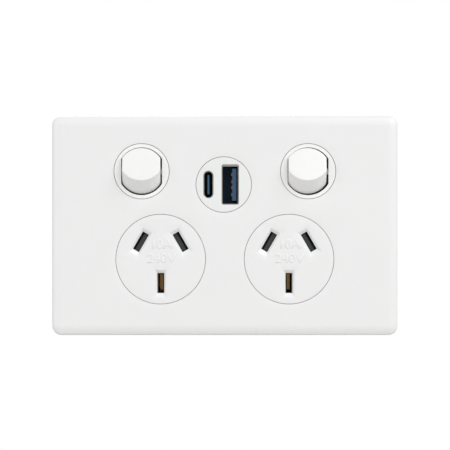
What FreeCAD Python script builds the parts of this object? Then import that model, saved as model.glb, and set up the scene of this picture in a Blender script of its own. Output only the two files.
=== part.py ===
import FreeCAD, Part
import os
import re

import Sketcher
from FreeCAD import Placement, Rotation, Vector

# Double switched wall socket with a round USB module between its two rocker switches.
# Millimetres. X runs to the right, Z up and Y into the wall. The wall's surface is y = 0,
# so what stands out into the room has a negative y. The origin is the plate's centre on the wall.
# Each piece is drawn about its own axis and then placed, from the sizes in the sheet.

SIZES = [
    ("past", "1", "how far a cutter runs past the face it opens"),
    ("lap", "0.5", "how far the parts of one moulding run into each other"),
    ("plate_beside", "21.5", "plate's side edge beyond the switches' collars"),
    ("plate_above", "9.6", "plate's top edge above the switches' collars"),
    ("plate_depth", "9.3", "front of the plate above the wall"),
    ("plate_wall", "2.2", "wall of the plate"),
    ("plate_corner", "3.2", "radius of the plate's four corners"),
    ("plate_edge", "2.6", "rounding of the plate's front edge"),
    ("plate_gap", "0.3", "room between the plate and the frame inside it"),
    ("hole_gap", "0.15", "room round each disc in its hole in the plate"),
    ("lug_place", "35", "snap lugs, from the middle of the plate"),
    ("lug_width", "6", "width of a snap lug"),
    ("lug_bite", "0.8", "how far a lug reaches into the frame"),
    ("lug_front", "2.0", "front of a lug above the wall"),
    ("lug_back", "0.8", "back of a lug above the wall"),
    ("lug_room", "0.3", "room round a lug in the frame"),
    ("pry_width", "8", "screwdriver notch in the plate's bottom rim"),
    ("pry_depth", "1.2", "depth of that notch"),
    ("frame_front", "4.6", "front of the mounting frame above the wall"),
    ("frame_sheet", "2.4", "thickness of the frame's face"),
    ("frame_rim", "1.6", "rim round the frame"),
    ("frame_corner", "1.2", "radius of the frame's corners"),
    ("screw_room", "5.2", "wall screws beyond the housing's waist, which puts them 84 mm apart"),
    ("screw_slot", "4.2", "width of a wall screw's slot"),
    ("screw_travel", "2.8", "how much longer than wide that slot is"),
    ("screw_boss", "1.4", "wall round that slot"),
    ("socket_pitch", "44.4", "distance between the two sockets"),
    ("socket_drop", "11.6", "sockets below the plate's centre"),
    ("socket_disc", "15.45", "radius of a socket's disc"),
    ("disc_front", "9.25", "front of the discs above the wall"),
    ("face_wall", "2.5", "thickness of a socket's face"),
    ("flange_sheet", "2.0", "thickness of the flange that rests on the frame"),
    ("flange_reach", "1.35", "how far a flange reaches past its disc"),
    ("skirt_inset", "0.65", "outside of a socket's skirt inside the disc's edge"),
    ("skirt_wall", "1.4", "wall of that skirt"),
    ("frame_clear", "0.2", "room round a skirt in the frame"),
    ("pin_rise", "2.04", "pins' centre above the disc's centre"),
    ("live_out", "6.86", "live pins from the pins' centre, sideways"),
    ("live_up", "3.96", "live pins above the pins' centre"),
    ("earth_down", "10.31", "earth pin below the pins' centre"),
    ("pin_lean", "30", "lean of the live slots, degrees"),
    ("slot_long", "6.95", "length of a pin slot"),
    ("slot_wide", "2.05", "width of a pin slot"),
    ("lead_side", "0.75", "bevel along a slot's sides"),
    ("lead_top", "1.0", "bevel at a slot's upper end"),
    ("lead_foot", "1.4", "bevel at a slot's lower end"),
    ("lead_deep", "0.8", "depth of those bevels"),
    ("shutter_lap", "1.55", "shutter's edge beyond a slot's middle line"),
    ("shutter_sheet", "2.6", "thickness of a shutter"),
    ("shutter_foot", "0.4", "shutter's lower edge below the pins' centre"),
    ("shutter_head", "9.9", "shutter's upper edge above the pins' centre"),
    ("shutter_bridge", "1.5", "bar that joins the shutter's two wings"),
    ("shutter_slit", "3.4", "gap between the wings, for the spring"),
    ("shutter_gap", "0.2", "room in front of a shutter"),
    ("ramp_near", "0.25", "ramp along a shutter's edge, from the slot's middle"),
    ("ramp_far", "1.75", "the ramp's far end, from the slot's middle"),
    ("ramp_half", "7", "half the ramp's length"),
    ("ramp_lip", "0.9", "edge that the ramp leaves on the shutter"),
    ("guide_front", "3.8", "front of the pin guide above the wall"),
    ("guide_gap", "0.2", "room between the skirt and the corners of the eight-sided pin guide"),
    ("spring_foot", "-0.6", "lower end of a shutter spring, from the pins' centre"),
    ("spring_radius", "0.95", "middle of the spring's wire from its axis"),
    ("spring_wire", "0.26", "half the wire's thickness"),
    ("post_tall", "1.5", "height of the post under a shutter spring"),
    ("post_wide", "2.8", "width of that post"),
    ("switch_pitch", "57.6", "distance between the two switches"),
    ("switch_rise", "18.8", "switches above the plate's centre"),
    ("switch_disc", "9.5", "radius of a switch's collar"),
    ("switch_front", "9.15", "front of the collars above the wall"),
    ("frame_hole", "9.6", "radius of the frame's holes behind the switches and the USB face"),
    ("opening_radius", "8.25", "opening for a rocker"),
    ("opening_half", "7.05", "half the width of that opening"),
    ("rocker_depth", "6.0", "rocker's axle above the wall"),
    ("rocker_radius", "7.92", "rocker's curved ends"),
    ("rocker_middle", "8.05", "rocker's reach half way through its travel"),
    ("rocker_half", "6.5", "half the rocker's width"),
    ("rocker_tall", "6.14", "rocker's face above its axle"),
    ("rocker_tilt", "22", "tilt at each end of its travel, degrees"),
    ("rocker_back", "1.0", "rocker's back behind its axle"),
    ("axle_radius", "1.2", "rocker's two stub axles"),
    ("axle_reach", "8.0", "end of a stub axle from the rocker's middle"),
    ("axle_gap", "0.05", "room round a stub axle"),
    ("axle_end_gap", "0.2", "room at the end of a stub axle"),
    ("axle_snap", "1.1", "half the slot that an axle snaps in through"),
    ("stem_half", "2.3", "half the width of the square stem behind the rocker"),
    ("stem_end", "6.5", "end of the stem behind the axle"),
    ("bore_radius", "1.35", "bore in the stem"),
    ("bore_start", "0.9", "bottom of that bore"),
    ("plunger_radius", "1.25", "plunger in the stem"),
    ("plunger_start", "4.1", "plunger's inner end behind the axle"),
    ("plunger_reach", "12.0", "plunger's tip behind the axle"),
    ("tip_tall", "0.8", "height of the plunger's tapered tip"),
    ("tip_radius", "0.5", "end of that tip"),
    ("spring_gap", "0.02", "room at each end of a spring"),
    ("plunger_wire", "0.2", "half the thickness of its spring's wire"),
    ("plunger_coil", "0.95", "middle of that wire from the axis"),
    ("arm_rise", "1.8", "contact arm's hollow in front of its fulcrum"),
    ("arm_swing", "7", "contact arm's tilt at each end, degrees"),
    ("arm_half_width", "2.4", "half the contact arm's width"),
    ("arm_sheet", "1.0", "thickness of the contact arm"),
    ("arm_cradle", "7.42", "hollow in the arm that the plunger slides in"),
    ("arm_cradle_half", "4.4", "half the height of that hollow"),
    ("arm_half", "7.5", "half the contact arm's length"),
    ("arm_lip", "0.1", "edge of that hollow in front of the arm's straight ends"),
    ("saddle_half", "1.9", "half the height of the arm's saddle"),
    ("saddle_gap", "0.3", "end of that saddle in front of the fulcrum"),
    ("tip_gap", "0.2", "room between the plunger's tip and the arm"),
    ("ridge_radius", "1.0", "ridge that the arm rocks on"),
    ("ridge_gap", "0.06", "room between that ridge and the arm's groove"),
    ("button_radius", "1.2", "contact buttons"),
    ("button_rise", "0.6", "height of a contact button"),
    ("button_place", "6.3", "contact buttons above the fulcrum"),
    ("closed_face", "0.48", "fixed button's face in front of the fulcrum"),
    ("strip", "1.0", "thickness of the brass strips"),
    ("floor_depth", "11.4", "floor of the housing behind the wall's surface"),
    ("housing_wall", "2.2", "housing's floor"),
    ("side_wall", "1.5", "housing's side walls"),
    ("waist_step", "2.0", "the housing's ends are this much wider than its waist, each side"),
    ("waist_rise", "6.2", "half the height of the waist"),
    ("housing_corner", "2.4", "corners cut off the housing"),
    ("top_room", "0.7", "top of the housing above the switches' collars"),
    ("foot_room", "0.1", "bottom of the housing below the sockets' flanges"),
    ("draft", "0.5", "taper of the housing's towers, each side"),
    ("shelf_rise", "9.0", "middle of the shelf between switches and sockets"),
    ("rib_half", "0.6", "half the thickness of the housing's inner walls"),
    ("rib_front", "0.5", "front of the upright inner walls above the wall's surface"),
    ("rib_low", "-10", "lower end of the upright inner walls"),
    ("rib_shift", "2.3", "right upright wall beyond the socket's middle"),
    ("pad_half", "13", "half the width of the pad behind the earth strip"),
    ("pad_low", "-21.9", "lower end of that pad"),
    ("pad_high", "2", "upper end of that pad"),
    ("bus_low", "-1.4", "lower edge of the common active strip"),
    ("bus_high", "0.6", "its upper edge"),
    ("leg_up", "2.2", "top of that strip's upright legs above the switches"),
    ("post_half_x", "1.8", "half the width of the posts that carry the ridges"),
    ("post_half_z", "0.7", "half the thickness of those posts"),
    ("leg_out", "1.6", "outer edge of that strip's upright legs beyond the switches"),
    ("leg_in", "2.2", "inner edge of those legs inside the switches"),
    ("foot_half", "1.4", "half the height of a strip's foot behind a jaw"),
    ("shelf_half", "1.6", "half the height of the shelf that holds a fixed button"),
    ("shelf_reach", "2", "shelf's end beyond the button, and a foot's beyond the jaw"),
    ("riser_wide", "2.5", "width of the upright strips"),
    ("riser_in", "8.2", "right upright strip inside its switch"),
    ("riser_out", "6.3", "left upright strip outside its switch"),
    ("hop_rise", "3", "how far that strip hops over the common strip"),
    ("hop_gap", "0.8", "room between the two strips there"),
    ("neutral_half", "1.7", "half the width of the neutral bar's uprights"),
    ("tail_out", "2.1", "neutral tail from the terminal's middle"),
    ("tail_half", "1.3", "half the width of that tail"),
    ("pad_rise", "3", "height of the tabs that reach into the terminals"),
    ("active_pad", "2", "lower end of the active tab"),
    ("riser_half", "2", "half the width of the earth strip's riser"),
    ("earth_high", "-0.5", "upper edge of the earth strip's run to its terminal"),
    ("earth_low", "-3.3", "lower edge of that run"),
    ("neutral_low", "-14", "lower edge of the neutral bar"),
    ("neutral_high", "-11", "its upper edge"),
    ("earth_half", "1.5", "half the width of the earth bar"),
    ("earth_step", "2.2", "how much deeper the earth bar's riser lies"),
    ("jaw_front", "-0.9", "mouth of a jaw, from the wall's surface"),
    ("jaw_grip", "1.6", "where a jaw grips the pin"),
    ("jaw_knee", "4.6", "where a jaw's leaves widen again"),
    ("jaw_wide", "5.6", "width of a jaw along its slot"),
    ("jaw_sheet", "0.7", "thickness of a jaw's leaves"),
    ("jaw_pinch", "0.55", "half the gap where a jaw grips"),
    ("jaw_mouth", "1.5", "half the gap at a jaw's mouth"),
    ("jaw_base", "1.9", "half the width of a jaw's base"),
    ("block_beside", "3.5", "inner terminals beside the module's housing"),
    ("block_half", "4.2", "half the width of a terminal"),
    ("block_low", "-3.5", "lower end of a terminal"),
    ("block_high", "7.5", "upper end of a terminal"),
    ("block_recess", "1.2", "terminal's front below the housing's floor"),
    ("block_deep", "10.4", "depth of a terminal"),
    ("tunnel_half", "2.1", "half the width of the wire's square way through a terminal"),
    ("tunnel_depth", "4.4", "middle of that way behind the terminal's front"),
    ("entry_radius", "2.4", "round holes in the housing for the wires"),
    ("grub_radius", "2.0", "terminal screw"),
    ("grub_gap", "0.05", "room round a terminal screw"),
    ("grub_long", "5.5", "length of a terminal screw"),
    ("grub_lift", "0.3", "open screw's end above the wire's way"),
    ("grub_slot", "0.4", "half the width of a terminal screw's slot"),
    ("grub_slot_deep", "1.1", "depth of that slot"),
    ("access_gap", "0.4", "room for a screwdriver round a terminal screw"),
    ("pocket_gap", "0.1", "room round what sits in a housing pocket"),
    ("tower_wall", "1.5", "walls round the terminals"),
    ("case_in", "17", "upper case screws from the middle"),
    ("case_inset", "2.8", "case screws from the housing's top and bottom"),
    ("case_beside", "4.8", "lower case screws from the housing's sides"),
    ("case_shank", "1.2", "radius of a case screw"),
    ("case_head", "2.4", "radius of its head"),
    ("case_head_tall", "1.8", "height of its head"),
    ("case_bite", "1.8", "how far it reaches into the frame"),
    ("case_sink", "0.2", "its head below the housing's back"),
    ("case_gap", "0.1", "room round its shank in the housing"),
    ("case_slot", "0.35", "half the width of its slot"),
    ("usb_x", "-0.4", "USB module from the plate's centre, sideways"),
    ("usb_z", "14.2", "USB module above the plate's centre"),
    ("usb_disc", "9.55", "radius of the USB module's face"),
    ("usb_front", "9.2", "front of that face above the wall"),
    ("usb_a_x", "2.25", "large port from the module's middle"),
    ("usb_a_wide", "5.9", "width of the large port's hole"),
    ("usb_a_tall", "13.8", "height of the large port's hole"),
    ("usb_c_x", "-5.29", "small port from the module's middle"),
    ("usb_c_wide", "3.43", "width of the small port's hole"),
    ("usb_c_tall", "9.43", "height of the small port's hole"),
    ("port_gap", "0.1", "room round a port in its hole"),
    ("shell_sheet", "0.3", "sheet of the ports' metal shells"),
    ("shell_sink", "0.3", "shells behind the face"),
    ("tongue_sink", "1.4", "tongues behind the face"),
    ("board_front", "5.2", "front of the circuit board behind the wall's surface"),
    ("board_sheet", "1.6", "thickness of the circuit board"),
    ("well_wall", "1.2", "walls of the housing round the module"),
    ("active_feed", "4", "active feed strip from the module's middle"),
    ("neutral_feed", "-5", "neutral feed strip from the module's middle"),
    ("feed_half", "0.9", "half the width of the module's feed strips"),
    ("feed_sheet", "0.8", "thickness of those strips"),
    ("feed_room", "0.25", "room round them in the module's walls"),
    ("feed_up", "3", "upper end of those strips inside the module"),
    ("feed_exit", "4", "top of the slits for those strips in the housing"),
    ("board_gap", "0.2", "room round the circuit board"),
    ("port_corner", "0.6", "corners of the large port's hole"),
    ("leaf_sink", "2.0", "contacts behind the face"),
    ("port_floor", "2.2", "front of the ports' insulators behind the wall's surface"),
    ("seat_gap", "0.05", "room round those insulators in the shells"),
    ("tongue_a_x", "1.45", "large port's tongue from the port's middle"),
    ("tongue_a_half_x", "0.7", "half the thickness of that tongue"),
    ("tongue_a_half_z", "5.55", "half its height"),
    ("tongue_c_half_x", "0.35", "half the thickness of the small port's tongue"),
    ("tongue_c_half_z", "3.35", "half its height"),
    ("leaf_a_sheet", "0.35", "thickness of the large port's contacts"),
    ("leaf_a_half", "0.5", "half their width"),
    ("leaf_c_sheet", "0.15", "thickness of the small port's contacts"),
    ("leaf_c_half", "0.13", "half their width"),
    ("leaf_c_step", "0.5", "distance between them"),
    ("core_half_x", "6.5", "half the width of the transformer's core"),
    ("core_low", "0.6", "lower end of the core"),
    ("core_high", "9.4", "upper end of the core"),
    ("core_tall", "9", "height of the core behind the board"),
    ("limb_x", "3.3", "middle of the core's two windows"),
    ("window_half_x", "1.3", "half the width of a window"),
    ("window_half_z", "2.6", "half the height of a window"),
    ("coil_half_x", "1.15", "half the width of the winding in a window"),
    ("coil_half_z", "2.45", "half its height"),
    ("coil_start", "0.6", "winding above the board"),
    ("coil_cap", "1.2", "thickness of the winding over the core"),
    ("can_x", "6", "capacitors from the module's middle, sideways"),
    ("can_z", "-5.2", "capacitors from the module's middle, upwards"),
    ("can_radius", "2.8", "radius of a capacitor"),
    ("can_tall", "11", "height of a capacitor"),
    ("chip_half_x", "2", "half the width of the controller chip"),
    ("chip_low", "-7.6", "lower end of the chip"),
    ("chip_high", "-2.6", "upper end of the chip"),
    ("chip_tall", "1.2", "height of the chip"),
    ("module_half_x", "10.8", "half the width of the module's housing"),
    ("module_half_z", "11.4", "half the height of the module's housing"),
    ("module_back", "26", "back of the module's housing"),
    ("module_wall", "1.0", "wall of the module's housing"),
]
NAMES = {alias for alias, size, note in SIZES}

doc = FreeCAD.newDocument("usb_wall_socket")
sheet = doc.addObject("Spreadsheet::Sheet", "sizes")
for row, (alias, size, note) in enumerate(SIZES, 1):
    sheet.set(f"A{row}", note)
    sheet.set(f"B{row}", size)
    sheet.setAlias(f"B{row}", alias)
doc.recompute()

# What several pieces share is worked out here, as text that the sheet's cells go into.
LEFT, RIGHT = "-1", "1"
SIDES = (("left", LEFT), ("right", RIGHT))
FRAME_BACK = "(frame_sheet - frame_front)"
FLANGE_FRONT = "(-frame_front - flange_sheet)"
STRIP_FRONT = "(floor_depth - strip)"
HOUSING_BACK = "(floor_depth + housing_wall)"
BLOCK_FRONT = "(floor_depth + block_recess)"
BLOCK_BACK = f"({BLOCK_FRONT} + block_deep)"
TUNNEL_Y = f"({BLOCK_FRONT} + tunnel_depth)"
TOWER_BACK = f"({BLOCK_BACK} + pocket_gap + tower_wall)"
CASE_HEAD_Y = f"({HOUSING_BACK} - case_head_tall - case_sink)"
PLATE_HALF_X = "(switch_pitch / 2 + switch_disc + plate_beside)"
PLATE_HALF_Z = "(switch_rise + switch_disc + plate_above)"
SKIRT = "(socket_disc - skirt_inset)"
SKIRT_INSIDE = f"({SKIRT} - skirt_wall)"
ARM_DEPTH = "(plunger_reach + tip_gap - rocker_depth + arm_rise)"
LEG_OUT = "(switch_pitch / 2 + leg_out)"
LEG_IN = "(switch_pitch / 2 - leg_in)"
WAIST_HALF = "(switch_pitch / 2 + riser_out + side_wall + 2 * pocket_gap)"
OUTER_BLOCK = f"({WAIST_HALF} - tower_wall - pocket_gap - block_half)"
INNER_BLOCK = "(module_half_x + block_beside + block_half)"
HOUSING_HALF = f"({WAIST_HALF} + waist_step)"
HOUSING_TOP = "(switch_rise + switch_disc + top_room)"
HOUSING_FOOT = "(socket_drop + socket_disc + flange_reach + foot_room)"
SCREW_X = f"({WAIST_HALF} + screw_room)"
TOP_CASE = ("case_in", f"({HOUSING_TOP} - case_inset)")
LOW_CASE = (f"({HOUSING_HALF} - case_beside)", f"(case_inset - {HOUSING_FOOT})")
CASE_PLACES = [(f"{side} * {x}", z) for x, z in (TOP_CASE, LOW_CASE) for side in (LEFT, RIGHT)]
TERMINALS = {"active": f"-{OUTER_BLOCK}", "loop": f"-{INNER_BLOCK}",
             "earth": INNER_BLOCK, "neutral": OUTER_BLOCK}
BOARD_BACK = "(board_front + board_sheet)"
FEEDS = {"active": "active_feed", "neutral": "neutral_feed"}
FEED_ENDS = {"active": "(bus_low + bus_high) / 2", "neutral": "(neutral_low + neutral_high) / 2"}
CONTACT_PLACES = ("-3.5", "-1", "1", "3.5")
FINE_CONTACTS = 12
PINS = [("neutral", "live_out", "live_up", "-pin_lean"),
        ("active", "-live_out", "live_up", "pin_lean"),
        ("earth", "0", "-earth_down", "0")]
TURNED = {"x": Rotation(Vector(0, 1, 0), 90), "y": Rotation(Vector(1, 0, 0), -90), "z": Rotation()}
PLANES = {"x": "YZ_Plane", "y": "XZ_Plane", "z": "XY_Plane"}
# Springs and guides have straight sides. SLANT is how far an inset moves the corner between an
# upright edge and one at 45 degrees. ROUND_RATIO keeps two roundings from meeting on one edge.
# BEYOND reaches past any part of a rocker or a contact arm.
COIL_SIDES = 12
GUIDE_SIDES = 8
SLANT = "tan(22.5)"
ROUND_RATIO = "0.499"
BEYOND = "(2 * switch_disc)"
PORTS = {"a": ("usb_a_x", "usb_a_wide", "usb_a_tall", "port_corner"),
         "c": ("usb_c_x", "usb_c_wide", "usb_c_tall", f"{ROUND_RATIO} * usb_c_wide")}
NODES = []


def linked(text):
    """An expression on the sheet's cells, from one that has their bare names."""
    return re.sub(r"[a-z]\w*", lambda word: f"sizes.{word[0]}" if word[0] in NAMES else word[0], text)


def number(text):
    return float(sheet.evalExpression(linked(text)))


def bind(item, place, text):
    item.setExpression(place, linked(text))


def keep(label, item):
    """Name a finished piece, which is then written to a file of its own."""
    item.Label = label
    NODES.append(item)
    return item


def place(item, x="0", y="0", z="0", angle=None, axis_way=(0, 1, 0)):
    if angle is not None:
        item.Placement = Placement(Vector(), Rotation(Vector(*axis_way), 10))
        bind(item, "Placement.Rotation.Angle", angle)
    for axis, text in (("x", x), ("y", y), ("z", z)):
        bind(item, f"Placement.Base.{axis}", text)
    return item


def about(middle, half):
    """A pair of places, at the same distance on each side of a middle."""
    return f"{middle} - {half}", f"{middle} + {half}"


def block(x, y, z):
    """A box between two places along each axis."""
    item = doc.addObject("Part::Box", "block")
    for axis, size, (low, high) in (("x", "Length", x), ("y", "Width", y), ("z", "Height", z)):
        bind(item, f"Placement.Base.{axis}", low)
        bind(item, size, f"({high}) - ({low})")
    return item


def rounded(x, y, z, radius, along="y"):
    """A box whose four edges along one axis are rounded."""
    base = block(x, y, z)
    doc.recompute()
    item = doc.addObject("Part::Fillet", "rounded")
    item.Base = base
    size = number(radius)
    item.Edges = [(count, size, size) for count, edge in enumerate(base.Shape.Edges, 1)
                  if abs(getattr(edge.tangentAt(edge.FirstParameter), along)) > 0.9]
    return item


def rod(x, y, z, radius):
    """A round bar. The axis that it runs along has a pair of places, and the others have one."""
    item = doc.addObject("Part::Cylinder", "rod")
    along = [axis for axis, text in zip("xyz", (x, y, z)) if isinstance(text, tuple)][0]
    item.Placement = Placement(Vector(), TURNED[along])
    for axis, text in zip("xyz", (x, y, z)):
        if axis == along:
            bind(item, "Height", f"({text[1]}) - ({text[0]})")
            text = text[0]
        bind(item, f"Placement.Base.{axis}", text)
    bind(item, "Radius", radius)
    return item


def wedge(x, y, z, far_x, far_z):
    """A block whose far end, at the higher y, may be smaller than its near end."""
    item = doc.addObject("Part::Wedge", "wedge")
    pairs = (("X", "", x), ("Y", "", y), ("Z", "", z), ("X", "2", far_x), ("Z", "2", far_z))
    for axis, end, (low, high) in pairs:
        bind(item, f"{axis}{end}min", low)
        bind(item, f"{axis}{end}max", high)
    return item


def joined(*pieces):
    item = doc.addObject("Part::MultiFuse", "joined")
    item.Shapes = list(pieces)
    return item


def shared(*pieces):
    item = doc.addObject("Part::MultiCommon", "shared")
    item.Shapes = list(pieces)
    return item


def less(base, *tools):
    item = doc.addObject("Part::Cut", "less")
    item.Base = base
    item.Tool = tools[0] if len(tools) == 1 else joined(*tools)
    return item


def group(*pieces):
    """Like pieces of one kind that stay separate solids."""
    item = doc.addObject("Part::Compound", "group")
    item.Links = list(pieces)
    return item


def drawn(along, points):
    """A body with a sketch of straight lines through the points, on the plane across one axis."""
    body = doc.addObject("PartDesign::Body", "body")
    sketch = body.newObject("Sketcher::SketchObject", "outline")
    plane = [item for item in body.Origin.OriginFeatures if item.Role == PLANES[along]][0]
    sketch.AttachmentSupport = [(plane, "")]
    sketch.MapMode = "FlatFace"
    spots = [Vector(number(across), number(up), 0) for across, up in points]
    for here, there in zip(spots, spots[1:] + spots[:1]):
        sketch.addGeometry(Part.LineSegment(here, there))
    for count, spot in enumerate(spots):
        sketch.addConstraint(Sketcher.Constraint("Coincident", count, 2, (count + 1) % len(spots), 1))
        for kind, length, text in (("DistanceX", spot.x, points[count][0]),
                                   ("DistanceY", spot.y, points[count][1])):
            index = sketch.addConstraint(Sketcher.Constraint(kind, -1, 1, count, 1, length))
            bind(sketch, f"Constraints[{index}]", text)
    return body, sketch


def prism(along, points, low, high):
    """The outline pushed along one axis, between two places."""
    body, sketch = drawn(along, points)
    bind(sketch, "AttachmentOffset.Base.z", f"-({high})" if along == "y" else low)
    pad = body.newObject("PartDesign::Pad", "pad")
    pad.Profile = sketch
    bind(pad, "Length", f"({high}) - ({low})")
    return body


def turned(points):
    """Points of (radius, y) turned about the Y axis."""
    body, sketch = drawn("z", points)
    spin = body.newObject("PartDesign::Revolution", "turn")
    spin.Profile = sketch
    spin.ReferenceAxis = (sketch, ["V_Axis"])
    spin.Angle = 360
    return body


def coil(radius, wire, low, high, turns):
    """A spring of square wire along Z, centred on the Z axis, with many-sided turns."""
    path = doc.addObject("Part::Polygon", "path")
    steps = turns * COIL_SIDES
    start, rise = number(f"{low} + {wire}"), number(f"({high}) - ({low}) - 2 * {wire}")
    path.Nodes = [Rotation(Vector(0, 0, 1), 360 * step / COIL_SIDES).multVec(Vector(number(radius), 0, 0))
                  + Vector(0, 0, start + rise * step / steps) for step in range(steps + 1)]
    section = doc.addObject("Part::RegularPolygon", "section")
    section.Polygon = 4
    section.Placement = Placement(Vector(), Rotation(Vector(1, 0, 0), 90))
    bind(section, "Circumradius", wire)
    bind(section, "Placement.Base.x", radius)
    bind(section, "Placement.Base.z", f"{low} + {wire}")
    doc.recompute()
    item = doc.addObject("Part::Sweep", "coil")
    item.Sections = [section]
    item.Spine = (path, [f"Edge{count}" for count in range(1, steps + 1)])
    item.Solid = True
    item.Frenet = False
    item.Transition = "Right corner"
    return item


def slot_cutters(front, back):
    """Cutters for the three pin slots, with bevelled mouths, about the disc's axis."""
    cutters = []
    for pin, x, z, lean in PINS:
        wide = ("-slot_wide / 2", "slot_wide / 2")
        tall = ("-slot_long / 2", "slot_long / 2")
        mouth_x = ("-slot_wide / 2 - lead_side", "slot_wide / 2 + lead_side")
        mouth_z = ("-slot_long / 2 - lead_foot", "slot_long / 2 + lead_top")
        straight = wedge(wide, (f"{front} - past", f"{back} + past"), tall, wide, tall)
        mouth = wedge(mouth_x, (front, f"{front} + lead_deep"), mouth_z, wide, tall)
        for cutter in (straight, mouth):
            cutters.append(place(cutter, x=x, z=f"{z} + pin_rise", angle=lean))
    return cutters


def cover_plate():
    outline = rounded(about("0", PLATE_HALF_X), ("-plate_depth", "0"), about("0", PLATE_HALF_Z),
                      "plate_corner")
    doc.recompute()
    round_edge = doc.addObject("Part::Fillet", "round_edge")
    round_edge.Base = outline
    size = number("plate_edge")
    round_edge.Edges = [(count, size, size) for count, edge in enumerate(outline.Shape.Edges, 1)
                        if edge.BoundBox.YMax < -0.5 * number("plate_depth")]
    inside_x, inside_z = f"({PLATE_HALF_X} - plate_wall)", f"({PLATE_HALF_Z} - plate_wall)"
    hollow = rounded(about("0", inside_x), ("plate_wall - plate_depth", "past"), about("0", inside_z),
                     "plate_corner - plate_wall")
    through = ("-plate_depth - past", "0")
    holes = [rod("usb_x", through, "usb_z", "usb_disc + hole_gap")]
    for side in (LEFT, RIGHT):
        holes.append(rod(f"{side} * socket_pitch / 2", through, "-socket_drop", "socket_disc + hole_gap"))
        holes.append(rod(f"{side} * switch_pitch / 2", through, "switch_rise", "switch_disc + hole_gap"))
    notch = block(about("0", "pry_width / 2"), ("-pry_depth", "past"),
                  (f"-{PLATE_HALF_Z} - past", f"past - {inside_z}"))
    shell = less(round_edge, hollow, notch, *holes)
    lugs = []
    for side in (LEFT, RIGHT):
        reach = about(f"{side} * lug_place", "lug_width / 2")
        depth = ("-lug_front", "-lug_back")
        lugs.append(block(reach, depth, (f"{inside_z} - plate_gap - lug_bite", f"{inside_z} + lap")))
        lugs.append(block(reach, depth, (f"-{inside_z} - lap", f"plate_gap + lug_bite - {inside_z}")))
    keep("cover_plate", joined(shell, *lugs))


def mounting_frame():
    """The stiff frame on the wall: a plate with a rim, five holes, and a slot for each wall screw."""
    half_x = f"({PLATE_HALF_X} - plate_wall - plate_gap)"
    half_z = f"({PLATE_HALF_Z} - plate_wall - plate_gap)"
    body = rounded(about("0", half_x), ("-frame_front", "0"), about("0", half_z), "frame_corner")
    hollow = block(about("0", f"({half_x} - frame_rim)"), (FRAME_BACK, "past"),
                   about("0", f"({half_z} - frame_rim)"))
    through = ("-frame_front - past", "past")
    cuts, bosses = [rod("usb_x", through, "usb_z", "frame_hole")], []
    for side in (LEFT, RIGHT):
        cuts.append(rod(f"{side} * socket_pitch / 2", through, "-socket_drop", f"{SKIRT} + frame_clear"))
        cuts.append(rod(f"{side} * switch_pitch / 2", through, "switch_rise", "frame_hole"))
        middle = f"{side} * {SCREW_X}"
        long = "(screw_slot + screw_travel) / 2"
        bosses.append(rounded(about(middle, f"({long} + screw_boss)"), (f"{FRAME_BACK} - lap", "0"),
                              about("0", "(screw_slot / 2 + screw_boss)"), "screw_slot / 2"))
        cuts.append(rounded(about(middle, long), through, about("0", "screw_slot / 2"),
                            f"{ROUND_RATIO} * screw_slot"))
        lug = about(f"{side} * lug_place", "(lug_width / 2 + lug_room)")
        depth = ("-lug_front - lug_room", "lug_room - lug_back")
        cuts.append(block(lug, depth, (f"{half_z} - lug_bite - lug_room", f"{half_z} + past")))
        cuts.append(block(lug, depth, (f"-{half_z} - past", f"lug_bite + lug_room - {half_z}")))
    cuts += [rod(x, (f"{FRAME_BACK} - case_bite - case_sink", "past"), z, "case_shank + axle_gap")
             for x, z in CASE_PLACES]
    keep("mounting_frame", less(joined(less(body, hollow), *bosses), *cuts))


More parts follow.
